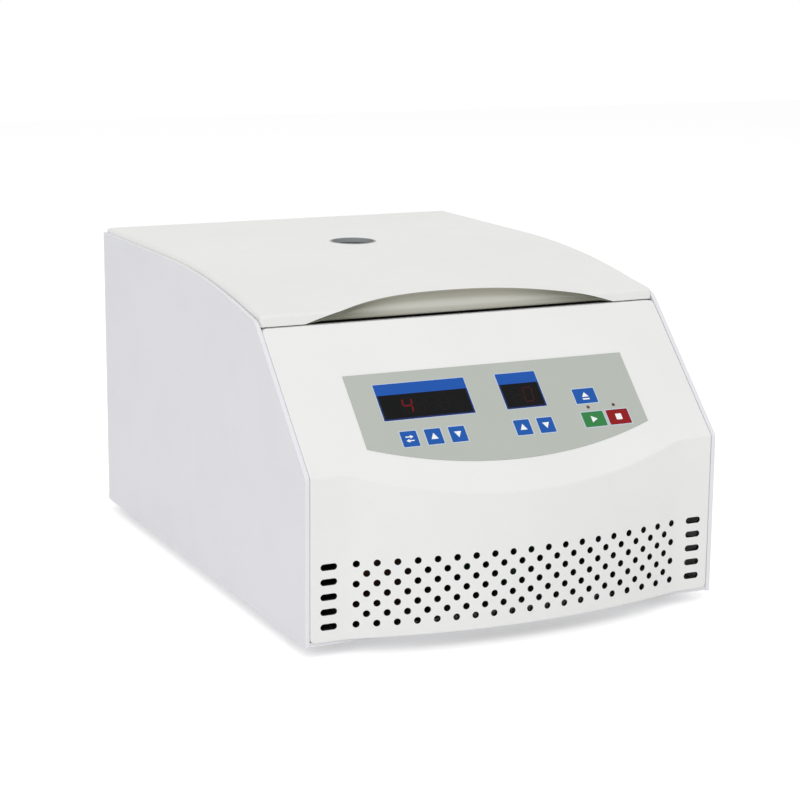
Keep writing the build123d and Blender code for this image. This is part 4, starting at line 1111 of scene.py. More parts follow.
    def holes(self) -> list[np.ndarray]:
        """Points round the face's openings: staggered rows of round vents, then the slots beside them.

        Returns:
            A loop for each.
        """
        loops = []
        for row in range(-self.vent_reach, self.vent_reach + 1):
            count = self.vent_columns - (row % 2 == 0)
            height = self.vent_middle + row * self.vent_row
            for column in range(count):
                middle = ((column - (count - 1) / 2) * self.vent_pitch, height)
                loops.append(ring(middle, self.vent_radius + self.vent_lip))
        length, height = self.slot_length + 2 * self.vent_lip, self.slot_height + 2 * self.vent_lip
        for hand in (-1, 1):
            for step in range(-self.slot_reach, self.slot_reach + 1):
                middle = (hand * self.slot_across, self.vent_middle + step * self.slot_pitch)
                loops.append(rounded(middle, length, height, height / 2 - 0.01, 8))
        return loops

    def face_outline(self, across: np.ndarray) -> np.ndarray:
        """Find the face's outline.

        Args:
            across: The panel's columns.

        Returns:
            Points along its foot, up the right side, along its crown and down the left side.
        """
        side, low, bend = across[-1], self.bottom + self.edge, self.corner - self.edge
        arc = np.linspace(0, math.pi / 2, 5)
        corner = beside(side - bend + bend * np.sin(arc), low + bend - bend * np.cos(arc))
        rise = np.linspace(low + bend, float(self.face_top(np.array([side]))[0]), self.side_rows)
        upright = beside(side, rise[1:-1])
        foot = np.array([(x, low) for x in across if abs(x) < side - bend - 0.5])
        crown = beside(across, self.face_top(across))[::-1]
        return np.concatenate([foot, corner, upright, crown, mirrored(upright), mirrored(corner)])

    def slope_outline(self, across: np.ndarray, foot: np.ndarray) -> np.ndarray:
        """Find the slope's outline.

        Args:
            across: The panel's columns.
            foot: How far up the slope each starts.

        Returns:
            Points along its foot, up the right side, along its crest and down the left side.
        """
        side, crest = across[-1], self.top - self.edge
        rise = np.linspace(foot[-1], crest - self.notch, self.side_rows + 1)
        arc = np.linspace(0, math.pi / 2, 6)
        notch = beside(side - self.notch * (1 - np.cos(arc)), crest - self.notch * (1 - np.sin(arc)))
        top = np.array([(x, crest) for x in across[::-1] if abs(x) < side - self.notch - 0.5])
        upright = beside(side, rise[1:-1])
        lower = beside(across, foot)
        return np.concatenate([lower, upright, notch, top, mirrored(notch), mirrored(upright)])

    def panel(self) -> None:
        """Make the panel: face, rounded edge, slope, and the border round all three."""
        skin = Skin()
        across = self.columns()
        outline = self.face_outline(across)
        holes = self.holes()
        inner = [(x, z) for x in across[3:-3:3] for z in self.bow_heights if abs(x) < self.bow_span]
        inner += [(hand * x, z) for hand in (-1, 1) for x in self.crease_places for z in self.crease_heights]
        skin.patch(outline, holes, self.on_face, inner=inner)
        for loop in holes:
            # the vents' bore walls take mark one: near-black painted shade inside each hole
            self.bore(skin, loop, self.on_face, self.vent_lip, BACK, self.wall, 1)
        places, normals = zip(*(self.on_edge(across, step / self.rows) for step in range(self.rows + 1)))
        skin.grid(places, normals)
        slope = self.slope_outline(across, (places[-1] - self.origin) @ self.up)
        openings = slope_openings()
        skin.patch(slope, openings, self.on_slope)
        for loop in openings:
            self.bore(skin, loop, self.on_slope, self.opening_lip, -self.facing, self.wall)
        self.face_border(skin, outline)
        for hand, column in ((1, -1), (-1, 0)):
            base, normal = np.array(places)[:, column], np.array(normals)[:, column]
            outside = np.broadcast_to(hand * RIGHT, base.shape)
            skin.rim(base, normal, outside, self.edge, -normal, self.skirt - self.edge, closed=False)
        self.slope_border(skin, slope, len(across))
        # the second finish is near-black painted shade on the vent bores
        finishes = ("front_moulding", "vent_lining")
        self.form(skin, "console_moulding", finishes, "cabinet", "front_moulding", "front_panel")

    def face_border(self, skin: Skin, outline: np.ndarray) -> None:
        """Roll the face's sides and foot over, all but its crown.

        Args:
            skin: The surface being gathered.
            outline: The face's outline.
        """
        base, normal = self.on_face(outline)
        flat = outward(outline)
        wall = beside(flat[:, 0], 0.0, flat[:, 1])
        crown = np.where(np.isclose(outline[:, 1], self.face_top(outline[:, 0])))[0]
        order = np.concatenate([np.arange(crown[-1], len(outline)), np.arange(0, crown[0] + 1)])
        wall[crown[0]], wall[crown[-1]] = RIGHT, -RIGHT
        depth = np.where(np.abs(flat[order, 1]) > 0.5, self.wall, self.skirt - self.edge)
        skin.rim(base[order], normal[order], wall[order], self.edge, BACK, depth, closed=False)

    def slope_border(self, skin: Skin, outline: np.ndarray, width: int) -> None:
        """Roll one side of the slope over, then its crest and its other side.

        Args:
            skin: The surface being gathered.
            outline: The slope's outline.
            width: How many columns the panel has.
        """
        chain = np.concatenate([np.arange(width - 1, len(outline)), [0]])
        base, normal = self.on_slope(outline[chain])
        flat = outward(outline)[chain]
        flat[0], flat[-1] = (1, 0), (-1, 0)
        share = np.clip(flat[:, 1:], 0, 1)
        wall = flat[:, :1] * RIGHT + share * UP
        down = share * BACK - (1 - share) * self.facing
        depth = share[:, 0] * (self.flange + self.crest_back) + (1 - share[:, 0]) * (self.skirt - self.edge)
        skin.rim(base, normal, wall, self.edge, down, depth, closed=False)

    def build(self) -> None:
        """Make the sub-assembly."""
        self.panel()


# ---------------------------------------------------------------- keypad and displays


def icon_loops(icon: Icon) -> list[np.ndarray]:
    """Draw an icon about its own middle.

    Args:
        icon: Which one.

    Returns:
        Its outlines.
    """
    up = np.array([(-3.4, -2.6), (3.4, -2.6), (0.0, 3.4)])
    shaft, head = rounded((-1.5, 1.9), 4.4, 1.1, 0.1, 1), np.array([(0.75, 0.1), (3.9, 1.9), (0.75, 3.7)])
    return {
        Icon.UP: [up],
        Icon.DOWN: [up * (-1, -1)],
        Icon.RUN: [np.array([(-2.6, -3.4), (3.4, 0.0), (-2.6, 3.4)])],
        Icon.HALT: [rounded((0, 0), 6.0, 6.0, 0.4, 2)],
        Icon.EJECT: [up * (1, 0.8) + (0, 1.0), rounded((0, -3.3), 6.8, 1.5, 0.2, 2)],
        Icon.SWAP: [shaft, head, shaft * (-1, -1), head * (-1, -1)],
    }[icon]


# both ends of each display segment, as shares of the digit's width and height
SEGMENTS = {
    "a": ((0.12, 1.0), (0.88, 1.0)), "b": ((1.0, 0.9), (1.0, 0.58)), "c": ((1.0, 0.42), (1.0, 0.1)),
    "d": ((0.12, 0.0), (0.88, 0.0)), "e": ((0.0, 0.42), (0.0, 0.1)), "f": ((0.0, 0.9), (0.0, 0.58)),
    "g": ((0.12, 0.5), (0.88, 0.5)),
}


@dataclass
class Keypad(Workshop):
    """Printed overlay film, display windows with their digits, keys and indicator lamps."""

    console: Console
    width: float = 275.0
    top: float = 95.4
    corner: float = 21.9
    dip: float = -2.2
    thickness: float = 0.6
    film_edge: float = 0.2
    frame_width: float = 1.5
    outline_width: float = 0.5
    header: float = 11.2
    hole_lip: float = 0.1
    hole_depth: float = 0.45
    window_lip: float = 0.05
    window_depth: float = 0.5
    key_gap: float = 0.3
    key_stand: float = 0.8
    key_edge: float = 0.3
    key_wall: float = 3.6
    key_border: float = 0.85
    lamp_radius: float = 1.6
    lamp_gap: float = 0.15
    lamp_dome: float = 0.35
    lamp_sink: float = 0.05
    inner_wall: float = 3.0
    digit_height: float = 14.6
    digit_width: float = 8.4
    digit_pitch: float = 11.6
    digit_stroke: float = 1.7
    digit_slant: float = 0.12
    # digits in each window, and the segments that glow on the first and the last
    digit_counts: tuple[int, int] = (4, 2)
    first_lit: str = "bcfg"
    last_lit: str = "abcdef"

    def outline(self, inset: float) -> np.ndarray:
        """Find the film's outline, an arc below and straight above.

        Args:
            inset: How far it is pulled in.

        Returns:
            Its points.
        """
        half = self.width / 2
        drop = self.corner - self.dip
        radius = (half**2 + drop**2) / (2 * drop)
        reach = half - inset
        across = np.linspace(-reach, reach, 60)
        lower = beside(across, self.dip + radius - np.sqrt((radius - inset) ** 2 - across**2))
        return np.concatenate([lower, [(reach, self.top - inset), (-reach, self.top - inset)]])

    def film(self) -> None:
        """Make the overlay, printed with a blue panel round each display and a pale line round each key."""
        skin, bore, inward = Skin(), self.console.bore, -self.console.facing
        level = self.console.level(self.thickness)
        outline = self.outline(self.film_edge)
        margin, line = self.frame_width, 2 * self.outline_width
        panels = [
            ((x, s + (self.header - margin) / 2), w + 2 * margin, h + self.header + margin)
            for x, s, w, h in WINDOWS
        ]
        borders = [rounded(middle, w + line, h + line, 0.7, 2) for middle, w, h in panels]
        keys = [key.loop(self.key_gap, 0.8) for key in KEYS]
        key_borders = [key.loop(2 * self.key_border, 1.0) for key in KEYS]
        lamps = [ring(place, self.lamp_radius + self.lamp_gap, 16) for place in LAMPS]
        skin.patch(outline, [*borders, *key_borders, *lamps], level)
        for border, key in zip(key_borders, keys):
            skin.patch(border, [key], level, mark=1)
        for border, (middle, w, h), (x, s, window_w, window_h) in zip(borders, panels, WINDOWS):
            skin.patch(border, [rounded(middle, w, h, 0.5, 2)], level, mark=1)
            split, low, high = s + window_h / 2, middle[1] - h / 2, middle[1] + h / 2
            # blue band above, navy frame round the window
            skin.patch(rounded((x, (split + high) / 2), w, high - split, 0.5, 2), [], level, mark=2)
            opening = rounded((x, s), window_w, window_h - 0.02, 0.1, 1)
            skin.patch(rounded((x, (split + low) / 2), w, split - low, 0.01, 1), [opening], level, mark=3)
            bore(skin, opening, level, self.window_lip, inward, self.window_depth, 3)
        for loop in (*keys, *lamps):
            bore(skin, loop, level, self.hole_lip, inward, self.hole_depth, 4)
        self.console.walled(skin, outline, level, self.film_edge, self.thickness - self.film_edge)
        prints = ("overlay_film", "pale_print", "blue_print", "navy_print", "overlay_film")
        self.form(skin, "printed_overlay", prints, "cabinet", "overlay_film", "keypad_overlay")

    def segment(self, name: str, middle: Point) -> np.ndarray:
        """Draw one display segment, pointed at both ends and slanted as on real modules.

        Args:
            name: Its letter.
            middle: The digit's middle.

        Returns:
            Its outline.
        """
        size = (self.digit_width, self.digit_height)
        start, end = (np.array([x - 0.5, y - 0.5]) * size for x, y in SEGMENTS[name])
        along = (end - start) / np.linalg.norm(end - start)
        across = np.array([-along[1], along[0]]) * self.digit_stroke / 2
        tip = along * self.digit_stroke / 2
        loop = np.array([start - tip, start - across, end - across, end + tip, end + across, start + across])
        return loop + beside(loop[:, 1] * self.digit_slant, 0.0) + middle

    def windows(self) -> None:
        """Make the two display windows with lit and unlit segments."""
        skin = Skin()
        level = self.console.level(self.thickness - 0.15)
        for x, s, w, h in WINDOWS:
            loop = rounded((x, s), w - 0.1, h - 0.1, 0.1, 1)
            skin.patch(loop, [], level)
            self.console.walled(skin, loop, level, 0.02, self.inner_wall)
        glass = self.console.level(self.thickness - 0.1)
        places = [
            (x + (step - (count - 1) / 2) * self.digit_pitch, s)
            for (x, s, _, _), count in zip(WINDOWS, self.digit_counts) for step in range(count)
        ]
        for place in places:
            for name in SEGMENTS:
                mark = 1
                if place == places[0] and name in self.first_lit:
                    mark = 2
                elif place == places[-1] and name in self.last_lit:
                    mark = 3
                skin.patch(self.segment(name, place), [], glass, mark=mark)
        marks = ("display_filter", "segment_dark", "segment_lit", "segment_faint")
        self.form(skin, "display_filters", marks, "cabinet", "window_filter", "display_windows")

    def lamps(self) -> None:
        """Make the two small domed indicator lenses."""
        skin, console = Skin(), self.console
        for place in LAMPS:
            rows, facing = [], []
            for tilt in (math.pi / 2 * step / 5 for step in range(6)):
                loop = ring(place, self.lamp_radius * max(math.sin(tilt), 0.02), 20)
                height = self.thickness + self.lamp_dome * math.cos(tilt) - self.lamp_sink
                rows.append(console.level(height)(loop)[0])
                side = 0.4 * math.sin(tilt) * console.sideways(loop)
                facing.append(unit(side + (math.cos(tilt) + 0.01) * console.facing))
            skin.grid(rows, facing, closed=True)
            foot = rows[-1] - console.facing * self.inner_wall
            skin.grid([rows[-1], foot], [facing[-1], facing[-1]], closed=True)
        self.form(skin, "lamp_lenses", ("lamp_lens",), "cabinet", "lamp_lens", "indicator_lenses")

    def key(self, key: Key) -> None:
        """Make one key cap with its icon.

        Args:
            key: The key.
        """
        skin = Skin()
        level = self.console.level(self.key_stand)
        top = key.loop(-2 * self.key_edge, 0.5)
        loops = [loop + (key.across, key.up) for loop in icon_loops(key.icon)]
        skin.patch(top, loops, level)
        for loop in loops:
            skin.patch(loop, [], level, mark=1)
        self.console.walled(skin, top, level, self.key_edge, self.key_wall)
        slot = f"key_{key.tint.value}"
        self.form(skin, key.node + "_top", (slot + "_print", "key_icon"), key.node + "_cap", slot, key.node)

    def build(self) -> None:
        """Make the sub-assembly."""
        self.film()
        self.windows()
        self.lamps()
        for key in KEYS:
            self.key(key)
        self.dress("circuit_board", "display_board")


# ---------------------------------------------------------------- studio


@dataclass(frozen=True)
class Studio:
    """Camera, soft lamps, pale floor and white surround."""

    camera_mm: Triple = (-849.0, -1782.1, 586.2)
    pitch: float = 12.31
    roll: float = 0.51
    yaw: float = 25.7
    focal: float = 2093.3
    frame_px: float = 800.0
    sensor: float = 36.0
    reach: float = 50.0
    around: float = 0.6
    floor_reach: float = 5.0
    floor_glow: float = 0.42
    aim: Triple = (0.0, 0.0, 0.15)
    # name, place in metres, length of side in metres, watts
    lamps: tuple[tuple[str, Triple, float, float], ...] = (
        ("key_lamp", (-1.6, -2.6, 2.6), 2.2, 50.0),
        ("fill_lamp", (2.6, -1.6, 1.8), 2.4, 5.0),
        ("top_lamp", (0.2, 0.6, 3.2), 2.6, 7.0),
    )

    def camera(self) -> None:
        """Place the camera."""
        yaw, pitch, roll = (math.radians(angle) for angle in (self.yaw, self.pitch, self.roll))
        ahead = Vector((math.sin(yaw) * math.cos(pitch), math.cos(yaw) * math.cos(pitch), -math.sin(pitch)))
        right = Vector((math.cos(yaw), -math.sin(yaw), 0.0))
        turned_right = right * math.cos(roll) + right.cross(ahead) * math.sin(roll)
        turned_up = turned_right.cross(ahead)
        lens = bpy.data.cameras.new("camera")
        lens.sensor_width = self.sensor
        lens.lens = self.focal / self.frame_px * self.sensor
        lens.clip_end = self.reach
        holder = add_object("camera", lens)
        holder.location = Vector(self.camera_mm) * MM
        grid = [[turned_right[i], turned_up[i], -ahead[i]] for i in range(3)]
        holder.rotation_euler = Matrix(grid).to_euler()
        bpy.context.scene.camera = holder

    def lamp(self, name: str, place: Triple, size: float, watts: float) -> None:
        """Add a square soft lamp that faces the machine.

        Args:
            name: Its name.
            place: Where it stands, in metres.
            size: Length of its side, in metres.
            watts: Its power.
        """
        light = bpy.data.lights.new(name, "AREA")
        light.shape = "SQUARE"
        light.size = size
        light.energy = watts
        holder = add_object(name, light)
        holder.location = place
        holder.rotation_euler = (Vector(self.aim) - Vector(place)).to_track_quat("-Z", "Y").to_euler()

    def surround(self) -> None:
        """Set an even surround: soft light on the machine, plain white to the camera and in reflections."""
        g = Graph("surround", world=True)
        bpy.context.scene.world = g.material
        white = srgb("ffffff")
        g.set(Color=white, Strength=self.around)
        soft = Signal(g, g.shader.outputs[0])
        plain = g.node("ShaderNodeBackground", {}, {"Color": white})
        blend = g.node("ShaderNodeMixShader", {}, {0: g.seen(), 1: soft, 2: plain})
        g.feed(g.tree.nodes["World Output"].inputs["Surface"], blend)

    def floor(self) -> None:
        """Lay a wide pale floor that keeps the machine's shadow."""
        mesh = bpy.data.meshes.new("floor")
        reach = self.floor_reach
        corners = [(-reach, -reach, 0.0), (reach, -reach, 0.0), (reach, reach, 0.0), (-reach, reach, 0.0)]
        mesh.from_pydata(corners, [], [(0, 1, 2, 3)])
        g = Graph("floor")
        g.set(Base_Color=srgb("f4f4f4"), Roughness=0.9, Specular_IOR_Level=0.0)
        glow = (self.floor_glow, self.floor_glow, self.floor_glow, 1.0)
        g.set(Emission_Color=g.mix(g.seen(), srgb("000000"), glow), Emission_Strength=1.0)
        mesh.materials.append(g.material)
        add_object("floor", mesh)

    def build(self) -> None:
        """Set the studio up."""
        self.camera()
        self.surround()
        self.floor()
        for lamp in self.lamps:
            self.lamp(*lamp)
        bpy.context.scene.view_settings.view_transform = "Standard"


# ---------------------------------------------------------------- cabinet, lid and what they hold


@dataclass
class Cabinet(Workshop):
    """Folded steel case, its base, feet and rear fittings."""

    case_edge: float = 0.7
    foot_edge: float = 0.6
    panel_edge: float = 0.25
    trim_edge: float = 0.35
    sink: float = 4.0
    arc_start: float = 270.0
    eased_y: float = -110.0
    eased_run: float = 35.0

    def sunk(self, point: Vector) -> None:
        """Lower the side walls' arc, so that the lid's rolled edge stands proud of it.

        Args:
            point: One point of the case, in metres.
        """
        if point.z > self.arc_start * MM:
            point.z -= self.sink * MM
            reach = min(max((self.eased_y * MM - point.y) / (self.eased_run * MM), 0.0), 1.0)
            point.y -= self.sink * MM * reach

    def build(self) -> None:
        """Make the sub-assembly."""
        self.soften("cabinet", "cabinet_paint", self.case_edge, "cabinet_shell", reshape=self.sunk)
        self.soften("cabinet", "foot_rubber", self.foot_edge, "feet")
        self.soften("cabinet", "deck_paint", self.panel_edge, "rear_panel")
        self.soften("cabinet", "black_plastic", self.trim_edge, "power_inlet", "switch_housing")
        self.soften("rocker", "rocker_plastic", self.trim_edge, "switch_rocker")
        self.soften("cabinet", "black_plastic", self.trim_edge, "fan_frame")
        self.dress("black_plastic", "fan_rotor")
        self.dress("base_zinc", "base_plate")
        self.dress("bearing_steel", "case_screws")


@dataclass
class Lid(Workshop):
    """Curved lid with its finger scoop, round port, liner and striker."""

    foot: float = 265.2
    lift: float = 1.9
    arc_run: float = 229.7
    arc_radius: float = 1145.0
    shell_radius: float = 1050.0
    shell_scoop: float = 267.0
    shell_apex: float = -97.1
    shell_floor: float = 270.6
    nose_edge: float = 3.0
    side_edge: float = 5.5
    ease: float = 26.0
    rear_corner: float = 8.0
    widen: float = 0.7
    chord: float = 154.0
    lip_turn: float = 1.35
    rise: float = 20.9
    shoulder: float = 2.39
    glance: float = 9.6
    lip: float = 2.8
    gap: float = 1.9
    lip_edge: float = 0.6
    undercut: float = 2.6
    floor_fall: float = 0.086
    taper: float = 14.0
    port_y: float = 92.7
    port_hole: float = 23.15
    port_lip: float = 0.3
    port_wall: float = 6.0
    port_clear: float = 3.0
    lip_clear: float = 1.5
    rear_clear: float = 4.0
    # where the scoop's ends run out: first place across, last, and the step between
    end_places: Triple = (118.0, 162.0, 2.0)
    end_clear: float = 0.2
    end_lean: float = 50.0
    lip_roll: float = 115.0
    floor_reach: float = 0.72
    floor_set: float = 0.8
    floor_drop: float = 0.85
    # behind the nose and below the floor's front: over its edge, down to the gap and back under it
    front_edge: tuple[Point, ...] = ((0.4, 0.12), (0.1, 0.45), (0.0, 0.9), (0.0, 9.0), (3.0, 9.0))
    skin_depth: float = 1.5
    seal_width: float = 4.8
    seal_inset: float = 2.0
    seal_clear: float = 0.1
    lip_columns: int = 71
    side_rows: int = 32
    rear_columns: int = 16
    top_columns: int = 25
    floor_rows: int = 15
    seal_columns: int = 61
    liner_edge: float = 0.5
    trim_edge: float = 0.4

    def __post_init__(self) -> None:
        """Read the lid's place from the frame and work its outline out."""
        low, high = box_mm("lid_shell")
        self.half, self.top = high[0] + self.widen, high[2]
        self.nose, self.back = low[1], high[1]
        self.arc_y = self.nose + self.arc_run
        tilt = math.asin(self.arc_run / self.arc_radius)
        self.turn = math.pi / 2 - tilt
        tangent = self.nose_edge * math.tan(self.turn / 2)
        self.face = self.crown(self.nose, self.arc_radius) - tangent - self.foot
        self.front_top = self.face + self.nose_edge * self.turn
        self.tilt = math.asin((self.arc_run - tangent * math.cos(tilt)) / self.arc_radius)
        self.flat_start = self.front_top + self.tilt * self.arc_radius
        self.side, self.bend = self.half - self.side_edge, self.rear_corner - self.side_edge
        self.rear = self.flat_start + self.back - self.side_edge - self.arc_y
        self.port = (0.0, self.flat_start + self.port_y - self.arc_y)
        self.nose_rows = [0.0, *np.linspace(self.face, self.front_top, 5)]
        self.steps = np.linspace(0, 80, 161)
        place, look = self.section(self.steps)[0], math.radians(self.glance)
        self.seen = (place[:, 2] - self.foot) * math.cos(look) + (place[:, 1] - self.nose) * math.sin(look)

    def crown(self, y: float, radius: float) -> float:
        """Height of the lid's top over a place behind its nose, for an arc of that radius."""
        run = max(self.arc_y - y, 0.0)
        return self.top - radius + math.sqrt(radius**2 - run**2)

    def section(self, s: np.ndarray) -> tuple[np.ndarray, np.ndarray, np.ndarray]:
        """Follow the lid's outside back from the foot of its nose.

        Args:
            s: Distances along it.

        Returns:
            Places, normals and rearward tangents.
        """
        turn = np.clip((s - self.face) / self.nose_edge, 0, self.turn)
        now = self.tilt - np.clip((s - self.front_top) / self.arc_radius, 0, self.tilt)
        y = self.nose + self.nose_edge * (1 - np.cos(turn)) + np.clip(s - self.flat_start, 0, None)
        z = self.foot + np.clip(s, None, self.face) + self.nose_edge * np.sin(turn)
        y = y + self.arc_radius * (math.sin(self.tilt) - np.sin(now))
        z = z + self.arc_radius * (np.cos(now) - math.cos(self.tilt))
        lean = np.where(s > self.front_top, math.pi / 2 - now, turn)
        place, normal = beside(0.0, y, z), beside(0.0, -np.cos(lean), np.sin(lean))
        return place, normal, beside(0.0, np.sin(lean), np.cos(lean))

    def on_top(self, flat: np.ndarray) -> tuple[np.ndarray, np.ndarray]:
        """Places and normals on the lid's outside.

        Args:
            flat: Across and along.

        Returns:
            The places, then the normals.
        """
        place, normal, _ = self.section(flat[:, 1])
        place[:, 0] = flat[:, 0]
        return place, normal

    def scoop(self, x: np.ndarray | float) -> np.ndarray:
        """How far along the outside the lip lies: a smooth curve as seen from the front at a glance."""
        return np.interp(self.rise * (1 - np.abs(x / self.chord) ** self.shoulder), self.seen, self.steps)

    def edge_radius(self, s: np.ndarray) -> np.ndarray:
        """Radius of the rolled edge, small at the nose and full along the sides and the rear."""
        return self.nose_edge + (self.side_edge - self.nose_edge) * self.past_nose(s)

    def past_nose(self, s: np.ndarray) -> np.ndarray:
        """Nought at the nose, rising to one where the rolled edge is full."""
        return np.clip((s - self.front_top) / self.ease, 0, 1)

    def border(self) -> np.ndarray:
        """Find the cover's outline past the scoop's lip.

        Returns:
            Points up the right side, across the rear and down the left side.
        """
        up = np.concatenate([
            self.nose_rows, self.front_top + self.ease * np.array([0.2, 0.4, 0.6, 0.8]),
            np.linspace(self.front_top + self.ease, self.rear - self.bend, self.side_rows)[:-1],
        ])
        middle = (self.side - self.bend, self.rear - self.bend)
        arc = np.linspace(0, math.pi / 2, 5)
        corner = self.bend * beside(np.cos(arc), np.sin(arc)) + middle
        right = np.concatenate([beside(self.half - self.edge_radius(up), up), corner])
        across = np.linspace(middle[0], -middle[0], self.rear_columns)[1:-1]
        return np.concatenate([right, beside(across, self.rear), mirrored(right)])

    def field(self) -> list[Point]:
        """Spread points inside the outline, so that the patch follows the crown and the scoop's ends.

        Returns:
            The points, across and along.
        """
        inner = []
        for s in [*self.nose_rows[1:], *np.linspace(self.front_top, self.rear, self.side_rows)[1:-1]]:
            for x in np.linspace(-self.side, self.side, self.top_columns)[1:-1]:
                clear = math.hypot(x - self.port[0], s - self.port[1]) > self.port_hole + self.port_clear
                if clear and self.scoop(x) + self.lip_clear < s < self.rear - self.rear_clear:
                    inner.append((x, s))
        for s in [*self.nose_rows[1:], self.front_top + self.lip_clear]:
            for x in np.arange(*self.end_places):
                if s > self.scoop(x) + self.end_clear:
                    inner += [(x + s / self.end_lean, s), (-x - s / self.end_lean, s)]
        return inner

    def cover(self) -> None:
        """Make the outside: crowned top, rounded nose and edges, port hole and scoop."""
        skin = Skin()
        turns = np.linspace(-self.lip_turn, self.lip_turn, self.lip_columns)
        lip_x = self.chord * np.sin(turns) / math.sin(self.lip_turn)
        border = self.border()
        outline = np.concatenate([beside(lip_x, self.scoop(lip_x)), border])
        hole = ring(self.port, self.port_hole + self.port_lip, 48)
        skin.patch(outline, [hole], self.on_top, inner=self.field())
        inward = -outward(hole)
        inward = beside(inward[:, 0], inward[:, 1], 0.0)
        skin.rim(*self.on_top(hole), inward, self.port_lip, -UP, self.port_wall)
        self.roll(skin, border, outward(outline)[-len(border):])
        self.recess(skin, lip_x)
        # the scoop takes mark one, a finish with painted shade
        self.form(skin, "lid_cover", ("lid_moulding", "scoop_moulding"), "lid", "lid_moulding", "lid_shell")

    def roll(self, skin: Skin, border: np.ndarray, flat: np.ndarray) -> None:
        """Roll the sides and the rear over, then drop their walls to the foot.

        Args:
            skin: The surface being gathered.
            border: The cover's outline past the lip.
            flat: Its flat normals.
        """
        base, normal, along = self.section(border[:, 1])
        base[:, 0] = border[:, 0]
        straight = border[:, 1] < self.rear - self.bend - 0.1
        flat[straight] = beside(np.sign(border[straight, 0]), 0.0)
        wall = flat[:, :1] * RIGHT + flat[:, 1:] * along
        wall = unit(wall - normal * (wall * normal).sum(-1, keepdims=True))
        radius = self.edge_radius(border[:, 1])
        skin.rim(base, normal, wall, radius, -UP, 0.0, closed=False, steps=6)
        span = slice(len(self.nose_rows) - 1, len(border) - len(self.nose_rows) + 1)
        skirt = (base + (wall - normal) * radius[:, None])[span]
        ground = skirt.copy()
        ground[:, 2] = self.foot + self.lift * self.past_nose(border[span, 1])
        skin.grid([skirt, ground], [wall[span], wall[span]])

    def opening(self, x: np.ndarray) -> np.ndarray:
        """Height of the gap under the scoop's floor, closing towards its ends."""
        lip = self.section(self.scoop(x))[0][:, 2] - self.foot
        return np.minimum(self.gap * np.clip((self.chord - np.abs(x)) / self.taper, 0, 1), 0.5 * lip)

    def recess(self, skin: Skin, x: np.ndarray) -> None:
        """Sink the scoop under its lip and bring its floor forward to the nose.

        Args:
            skin: The surface being gathered.
            x: Places across, one for each column.
        """
        start, normal, along = self.section(self.scoop(x))
        start[:, 0] = x
        edge = self.lip_edge * np.clip((start[:, 2:] - self.foot) / 3, 0.05, 1)
        centre = start - normal * edge
        rows = [
            centre + edge * (normal * math.cos(turn) - along * math.sin(turn))
            for turn in np.linspace(0, math.radians(self.lip_roll), 5)
        ]
        foot = self.foot + self.opening(x)
        p0 = rows[-1]
        front = np.minimum(foot + self.lip, p0[:, 2] - 0.01)
        width, high = start[:, 1] - self.nose, p0[:, 2] - front
        run = self.floor_reach * width
        p1 = p0 + beside(0.0, self.undercut * np.clip(width / 12, 0, 1), -self.floor_drop * high)
        p2 = beside(x, self.nose + run + self.floor_set, front + self.floor_fall * run)
        p3 = beside(x, self.nose + self.floor_set, front)
        for t in np.linspace(0, 1, self.floor_rows)[1:]:
            rows.append((1 - t) ** 3 * p0 + 3 * t * (1 - t) ** 2 * p1 + 3 * t * t * (1 - t) * p2 + t**3 * p3)
        rows += [beside(x, self.nose + y, np.maximum(front - z, foot)) for y, z in self.front_edge]
        points = np.array(rows)
        over, fall = np.gradient(points, axis=1), np.gradient(points, axis=0)
        normals = unit(np.cross(over, -fall) + 1e-9 * (UP - BACK))
        facing = np.sign((normals * (0.6 * UP - BACK)).sum(-1, keepdims=True))
        facing[-1] = -np.sign(normals[-1, :, 2:])
        # mark one: the scoop's painted shade
        skin.grid(points, normals * np.where(facing == 0, 1, facing), mark=1)

    def seal(self) -> None:
        """Make the seal strip that shows in the gap under the scoop's floor, near black to paint the shade in
        that gap.
        """
        low, high = box_mm("lid_front_seal")
        sill = low[2] - CREST_DROP
        reach = self.chord - self.seal_inset
        x = np.linspace(-1, 1, self.seal_columns) * reach
        tall = np.maximum(self.opening(x) + self.foot - self.seal_clear - sill, 0.5)
        rows, facing = [], []
        for place, height in zip(x, tall):
            size = (self.seal_width, height) if abs(place) < reach - 0.01 else (0.2, 0.1)
            middle = ((low[1] + high[1]) / 2, sill + self.seal_clear / 2 + height / 2)
            loop = rounded(middle, *size, min(size) / 3, 3)
            rows.append(beside(place, *loop.T))
            facing.append(beside(0.0, *outward(loop).T))
        skin = Skin()
        skin.grid(rows, facing, closed=True)
        self.form(skin, "lid_seal_strip", ("strip_rubber",), "cabinet", "seal_rubber", "lid_front_seal")

    def inside(self) -> None:
        """Keep the shell's inner walls, rim, bosses and notches, without what the cover replaces."""
        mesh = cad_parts["lid_shell"].data.copy()
        mesh.name = "lid_underside"
        shape = bmesh.new()
        shape.from_mesh(mesh)
        gone = []
        for face in shape.faces:
            outer, scooped = True, True
            for vertex in face.verts:
                x, y, z = (c / MM for c in vertex.co)
                top = self.crown(y, self.shell_radius)
                depth = min(self.half - self.widen - abs(x), y - self.nose, self.back - y, top - z)
                floor = self.shell_floor + (y - self.nose) * self.floor_fall
                outer = outer and depth < self.skin_depth
                reach = math.hypot(x, y - self.shell_apex + self.shell_scoop)
                scooped = scooped and reach < self.shell_scoop + 0.2 and z > floor - 0.3
            if (outer and face.normal.z > -0.9) or scooped:
                gone.append(face)
        bmesh.ops.delete(shape, geom=gone, context="FACES")
        shape.to_mesh(mesh)
        shape.free()
        mesh.materials.clear()
        mesh.materials.append(self.finishes["lid_moulding"])
        self.fit(add_object("lid_underside", mesh), "lid", "lid_moulding", "lid_shell")

